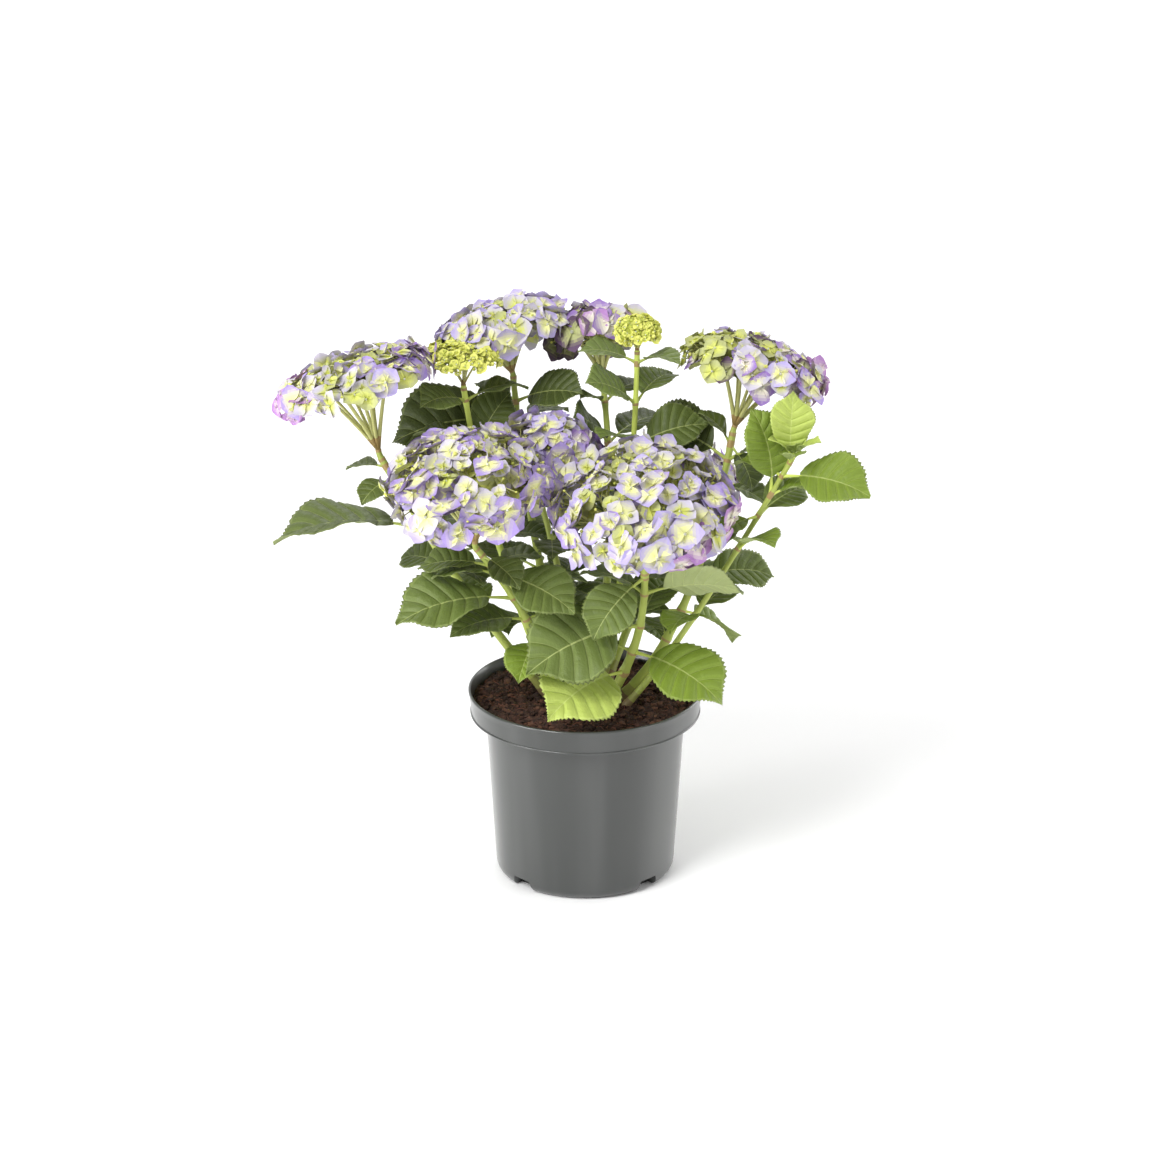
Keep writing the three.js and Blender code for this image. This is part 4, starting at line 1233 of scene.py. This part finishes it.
class Bloom:
    """Everything of one flower head: stalks, florets and buds"""

    def __init__(self, head, earlier, look, shapes, number):
        self.head, self.look, self.shapes = head, look, shapes
        self.rng = np.random.default_rng(900 + number)
        self.budding = head.name.startswith("bud")
        crowd = head.florets * look.fullness
        outer = self.layer(round(crowd * (BUDDING_CROWD if self.budding else 1)), OUTER_LAYER)
        inner = self.layer(round(crowd * INNER_CROWD), INNER_LAYER)
        self.is_inner = np.repeat([False, True], [len(outer[0]), len(inner[0])])
        self.centre, self.facing, self.ripe = (np.concatenate(pair) for pair in zip(outer, inner))
        keep = np.ones(len(self.centre), bool)
        for other in earlier:
            keep &= ~other.holds(self.centre, GIVE_WAY)
        for label in ("centre", "facing", "ripe", "is_inner"):
            setattr(self, label, getattr(self, label)[keep])
        count = len(self.centre)
        small, large = look.smallest / MM, look.largest / MM
        self.radius = (small + (large - small) * self.ripe) * self.rng.uniform(0.8, 1.0, count) * head.size
        if self.budding:
            self.radius = self.rng.uniform(3.6, 6.2, count)
        self.tones = self.choose_tones()
        self.radius = self.radius * np.where(self.tones == "young", 0.78, 1)

    def layer(self, count, depth):
        """Florets by the golden angle at one depth of the dome, riper towards its rim"""
        head, rng = self.head, self.rng
        low = math.cos(math.radians(head.skirt))
        number = np.arange(count)
        theta = np.arccos(np.clip(1 - (1 - low) * ((number + 0.5) / count) ** 1.18, -1, 1))
        theta = np.maximum(theta + rng.normal(0, 0.05, count), 0.02)
        azimuth = number * GOLDEN + rng.uniform(-0.25, 0.25, count) + depth * 9
        ripe = np.clip(0.1 + theta / math.radians(head.skirt) * 0.75 + rng.normal(0, 0.24, count), 0, 1)
        centre = head.on_dome(theta, azimuth, depth + 0.06 * ripe + rng.uniform(-0.06, 0.05, count))
        offset = centre - head.middle
        height = offset @ head.axis
        facing = offset / head.radius**2 + head.axis * (
            height * (1 / head.dome**2 - 1 / head.radius**2))[:, None]
        return centre, unit(unit(facing) + rng.normal(0, 0.32, (count, 3))), ripe

    def choose_tones(self):
        """Crown tones for young florets, rim tones for ripe ones, and accents on their own side"""
        if self.budding:
            return np.full(len(self.centre), "bud", object)
        crown_tones, rim_tones, accents = HEAD_TONES[self.head.name]
        crown_tones, rim_tones = crown_tones.split(), rim_tones.split()
        offset = (self.centre - self.head.middle) / self.head.radius
        tones = []
        for place, ripe in zip(offset, self.ripe):
            pool = rim_tones if self.rng.random() < ripe * 1.1 - 0.05 else crown_tones
            tone = pool[int(self.rng.random() * len(pool))]
            for direction, accent, reach in accents:
                if place @ unit(np.array(direction, float)) > 1 - reach * 1.2 + self.rng.normal(0, 0.12):
                    tone = accent
            tones.append(tone)
        plain = self.is_inner & (self.rng.random(len(tones)) < 0.6)
        return np.where(plain, crown_tones[0], np.array(tones, object))

    def add_florets(self, heap):
        """Young florets are cupped, ripe ones open flat, and those inside the head are plain"""
        kinds = np.where(self.ripe < 0.3, 0, np.where(self.ripe < 0.58, 1, 2))
        kinds[self.is_inner | self.budding] = 3
        pick = kinds * 4 + self.rng.integers(0, 4, len(kinds))
        twist = self.rng.uniform(0, math.pi, len(kinds))
        for which in np.unique(pick):
            chosen = pick == which
            shape = self.shapes[which]
            rings = np.array([f" {ring}" for ring in shape[2]], object)
            tones = np.array([f"petal {tone}" for tone in self.tones[chosen]], object)
            keys = (tones[:, None] + rings[None]).reshape(-1)
            scatter_shape(heap, shape, self.facing[chosen], twist[chosen], self.radius[chosen],
                          self.centre[chosen], keys)

    def add_buds(self, heap):
        """A bead in the heart of each floret, and unopened buds between them"""
        shape = self.shapes[-1]
        shown = ~self.is_inner
        heart = np.maximum(self.radius * 0.1, 0.8)[shown]
        centre = self.centre[shown] + self.facing[shown] * heart[:, None]
        keys = np.where(self.ripe[shown] > 0.4, "bud pearl", "bud lime")
        scatter_shape(heap, shape, self.facing[shown], self.ripe[shown], heart, centre,
                      np.repeat(keys, len(shape[1])))
        count = round(shown.sum() * (2.6 if self.budding else 0.5))
        theta, azimuth = golden(count, 1 - math.cos(math.radians(88)), 1.1)
        where = self.head.on_dome(theta, azimuth, self.rng.uniform(0.84, 0.98, count))
        radius = self.rng.uniform(1.5, 2.6, count) if self.budding else self.rng.uniform(1.2, 2.2, count)
        facing = unit(where - self.head.middle + self.head.axis)
        keys = self.rng.choice(["bud lime", "bud green"], count)
        scatter_shape(heap, shape, facing, theta, radius, where, np.repeat(keys, len(shape[1])))
        self.loose = where

    def add_stalks(self, heap):
        """Rays fork from the cane, branch again under the dome and end in a thin stalk to each floret"""
        head = self.head
        rays = 5 if self.budding else 8
        thick = 0.55 if self.budding else 1
        tips = head.on_dome(np.full(rays, 1.45), turns(rays) + 0.4, np.full(rays, 0.46))
        tips = np.concatenate([tips, head.on_dome([0.3], [1.0], [0.1])])
        root = head.fork - head.axis
        bow = (root + tips) / 2 + head.axis * head.reach * 0.1
        paths = curve(np.broadcast_to(root, tips.shape), bow, tips, 7)
        radius = np.linspace(2.1, 1.5, 7)[None] * thick * (0.9 + 0.2 * self.rng.random((len(tips), 1)))
        keys = np.full((len(tips), 6), "bark stalk", object)
        keys[:, 0] = "bark blush"
        tubes(heap, paths, radius, 7, keys)
        branches = max(8, len(self.centre) // 4)
        ends = head.on_dome(*golden(branches, 1.2, 0.6), np.full(branches, 0.72))
        from_tip = tips[np.linalg.norm(ends[:, None] - tips[None], axis=-1).argmin(1)]
        bow = (from_tip + ends) / 2 + head.axis * 2
        radius = np.tile(np.linspace(1.3, 0.95, 4) * thick, (branches, 1))
        tubes(heap, curve(from_tip, bow, ends, 4), radius, 5, "bark stalk")
        targets = np.concatenate([self.centre - self.facing * 0.4, self.loose])
        start = ends[np.linalg.norm(targets[:, None] - ends[None], axis=-1).argmin(1)]
        bow = (start + targets) / 2 + self.rng.normal(0, 1.2, targets.shape)
        radius = np.full((len(targets), 3), 0.42 if self.budding else 0.62)
        tubes(heap, curve(start, bow, targets, 3), radius, 4, "bark stalk")


class HYDRANGEA_OT_blossom(bpy.types.Operator):
    """Grows the flower heads: stalks, florets of four frilled sepals, and buds"""

    bl_idname = "hydrangea.blossom"
    bl_label = "Flower heads"

    def execute(self, context):
        look = context.scene.hydrangea_blossom
        petal_materials()
        rng = np.random.default_rng(77)
        shapes = [floret_shape(rng, bend, look.frill, FULL_RUN, FULL_ACROSS)
                  for bend in (0.95, 0.55, 0.15) for _ in range(4)]
        shapes += [floret_shape(rng, bend, look.frill, PLAIN_RUN, PLAIN_ACROSS)
                   for bend in (0.9, 0.7, 0.5, 0.3)]
        shapes.append(bead_shape())
        stalks, buds, earlier, nodes = Heap(), Heap(), [], []
        for number, cane in enumerate(crown()):
            if not cane.head:
                continue
            bloom = Bloom(cane.head, earlier, look, shapes, number)
            petals = Heap()
            bloom.add_florets(petals)
            bloom.add_buds(buds)
            bloom.add_stalks(stalks)
            petals.build(f"petals_{cane.name}", "blossom", [f"bloom_{cane.name}"])
            nodes.append(f"bloom_{cane.name}")
            earlier.append(cane.head)
        stalks.build("flower_stalks", "blossom", nodes)
        buds.build("flower_buds", "blossom", nodes)
        return {"FINISHED"}


class HYDRANGEA_OT_studio(bpy.types.Operator):
    """Lays the floor and sets the lights and the camera"""

    bl_idname = "hydrangea.studio"
    bl_label = "Studio"

    def execute(self, context):
        look = context.scene.hydrangea_studio
        scene = context.scene
        scene.view_settings.view_transform = "Standard"
        finish("studio floor", tuple(look.floor), 0.8, grains=40, bump=0.02, depth=0.0005, spread=0.05)
        mesh = bpy.data.meshes.new("studio_floor")
        corners = [(x * STUDIO_REACH, y * STUDIO_REACH, 0) for x, y in ((-1, -1), (1, -1), (1, 1), (-1, 1))]
        mesh.from_pydata(corners, [], [(0, 1, 2, 3)])
        mesh.materials.append(bpy.data.materials["studio floor"])
        add_object("studio_floor", mesh)
        world = bpy.data.worlds.new("studio")
        world.use_nodes = True
        set_inputs(world.node_tree.nodes["Background"], {"Strength": look.sky, "Color": (1, 1, 1, 1)})
        scene.world = world
        for name, power, size, place, aim in LAMPS:
            self.lamp(name, getattr(look, power), size, place, aim)
        camera = bpy.data.cameras.new("studio_camera")
        camera.sensor_width = 36
        camera.lens = LENS
        eye = add_object("studio_camera", camera)
        aim = Vector((0, 0, look.height))
        away = Vector((0, -math.cos(look.elevation), math.sin(look.elevation)))
        eye.location = aim + away * look.distance
        eye.rotation_euler = (-away).to_track_quat("-Z", "Y").to_euler()
        scene.camera = eye
        return {"FINISHED"}

    @staticmethod
    def lamp(name, power, size, place, aim):
        """A rectangular soft light at a place, turned to its aim"""
        light = bpy.data.lights.new(name, "AREA")
        light.shape, light.energy = "RECTANGLE", power
        light.size, light.size_y = size
        lamp = add_object(name, light)
        lamp.location = place
        lamp.rotation_euler = (Vector(aim) - Vector(place)).to_track_quat("-Z", "Y").to_euler()


class HYDRANGEA_PT_sidebar(bpy.types.Panel):
    """Lists the plant's pieces with their sizes and colours"""

    bl_label = "Potted hydrangea"
    bl_idname = "HYDRANGEA_PT_sidebar"
    bl_space_type = "VIEW_3D"
    bl_region_type = "UI"
    bl_category = "Hydrangea"

    def draw(self, context):
        for operator, name in STEPS:
            box = self.layout.box()
            box.operator(operator)
            look = getattr(context.scene, name)
            for key in look.bl_rna.properties.keys():
                if key not in ("rna_type", "name"):
                    box.prop(look, key)


STEPS = (
    ("hydrangea.pot", "hydrangea_pot"), ("hydrangea.soil", "hydrangea_soil"),
    ("hydrangea.canes", "hydrangea_canes"), ("hydrangea.foliage", "hydrangea_leaves"),
    ("hydrangea.blossom", "hydrangea_blossom"), ("hydrangea.studio", "hydrangea_studio"),
)
LOOKS = {
    "hydrangea_pot": PotLook, "hydrangea_soil": SoilLook, "hydrangea_canes": CaneLook,
    "hydrangea_leaves": LeafLook, "hydrangea_blossom": BlossomLook, "hydrangea_studio": StudioLook,
}
CLASSES = (
    *LOOKS.values(), HYDRANGEA_OT_pot, HYDRANGEA_OT_soil, HYDRANGEA_OT_canes, HYDRANGEA_OT_foliage,
    HYDRANGEA_OT_blossom, HYDRANGEA_OT_studio, HYDRANGEA_PT_sidebar,
)


def register():
    for cls in CLASSES:
        bpy.utils.register_class(cls)
    for name, look in LOOKS.items():
        setattr(bpy.types.Scene, name, bpy.props.PointerProperty(type=look))


def unregister():
    for name in LOOKS:
        delattr(bpy.types.Scene, name)
    for cls in reversed(CLASSES):
        bpy.utils.unregister_class(cls)


def main():
    register()
    for operator, _ in STEPS:
        group, name = operator.split(".")
        getattr(getattr(bpy.ops, group), name)()


if __name__ == "__main__":
    main()
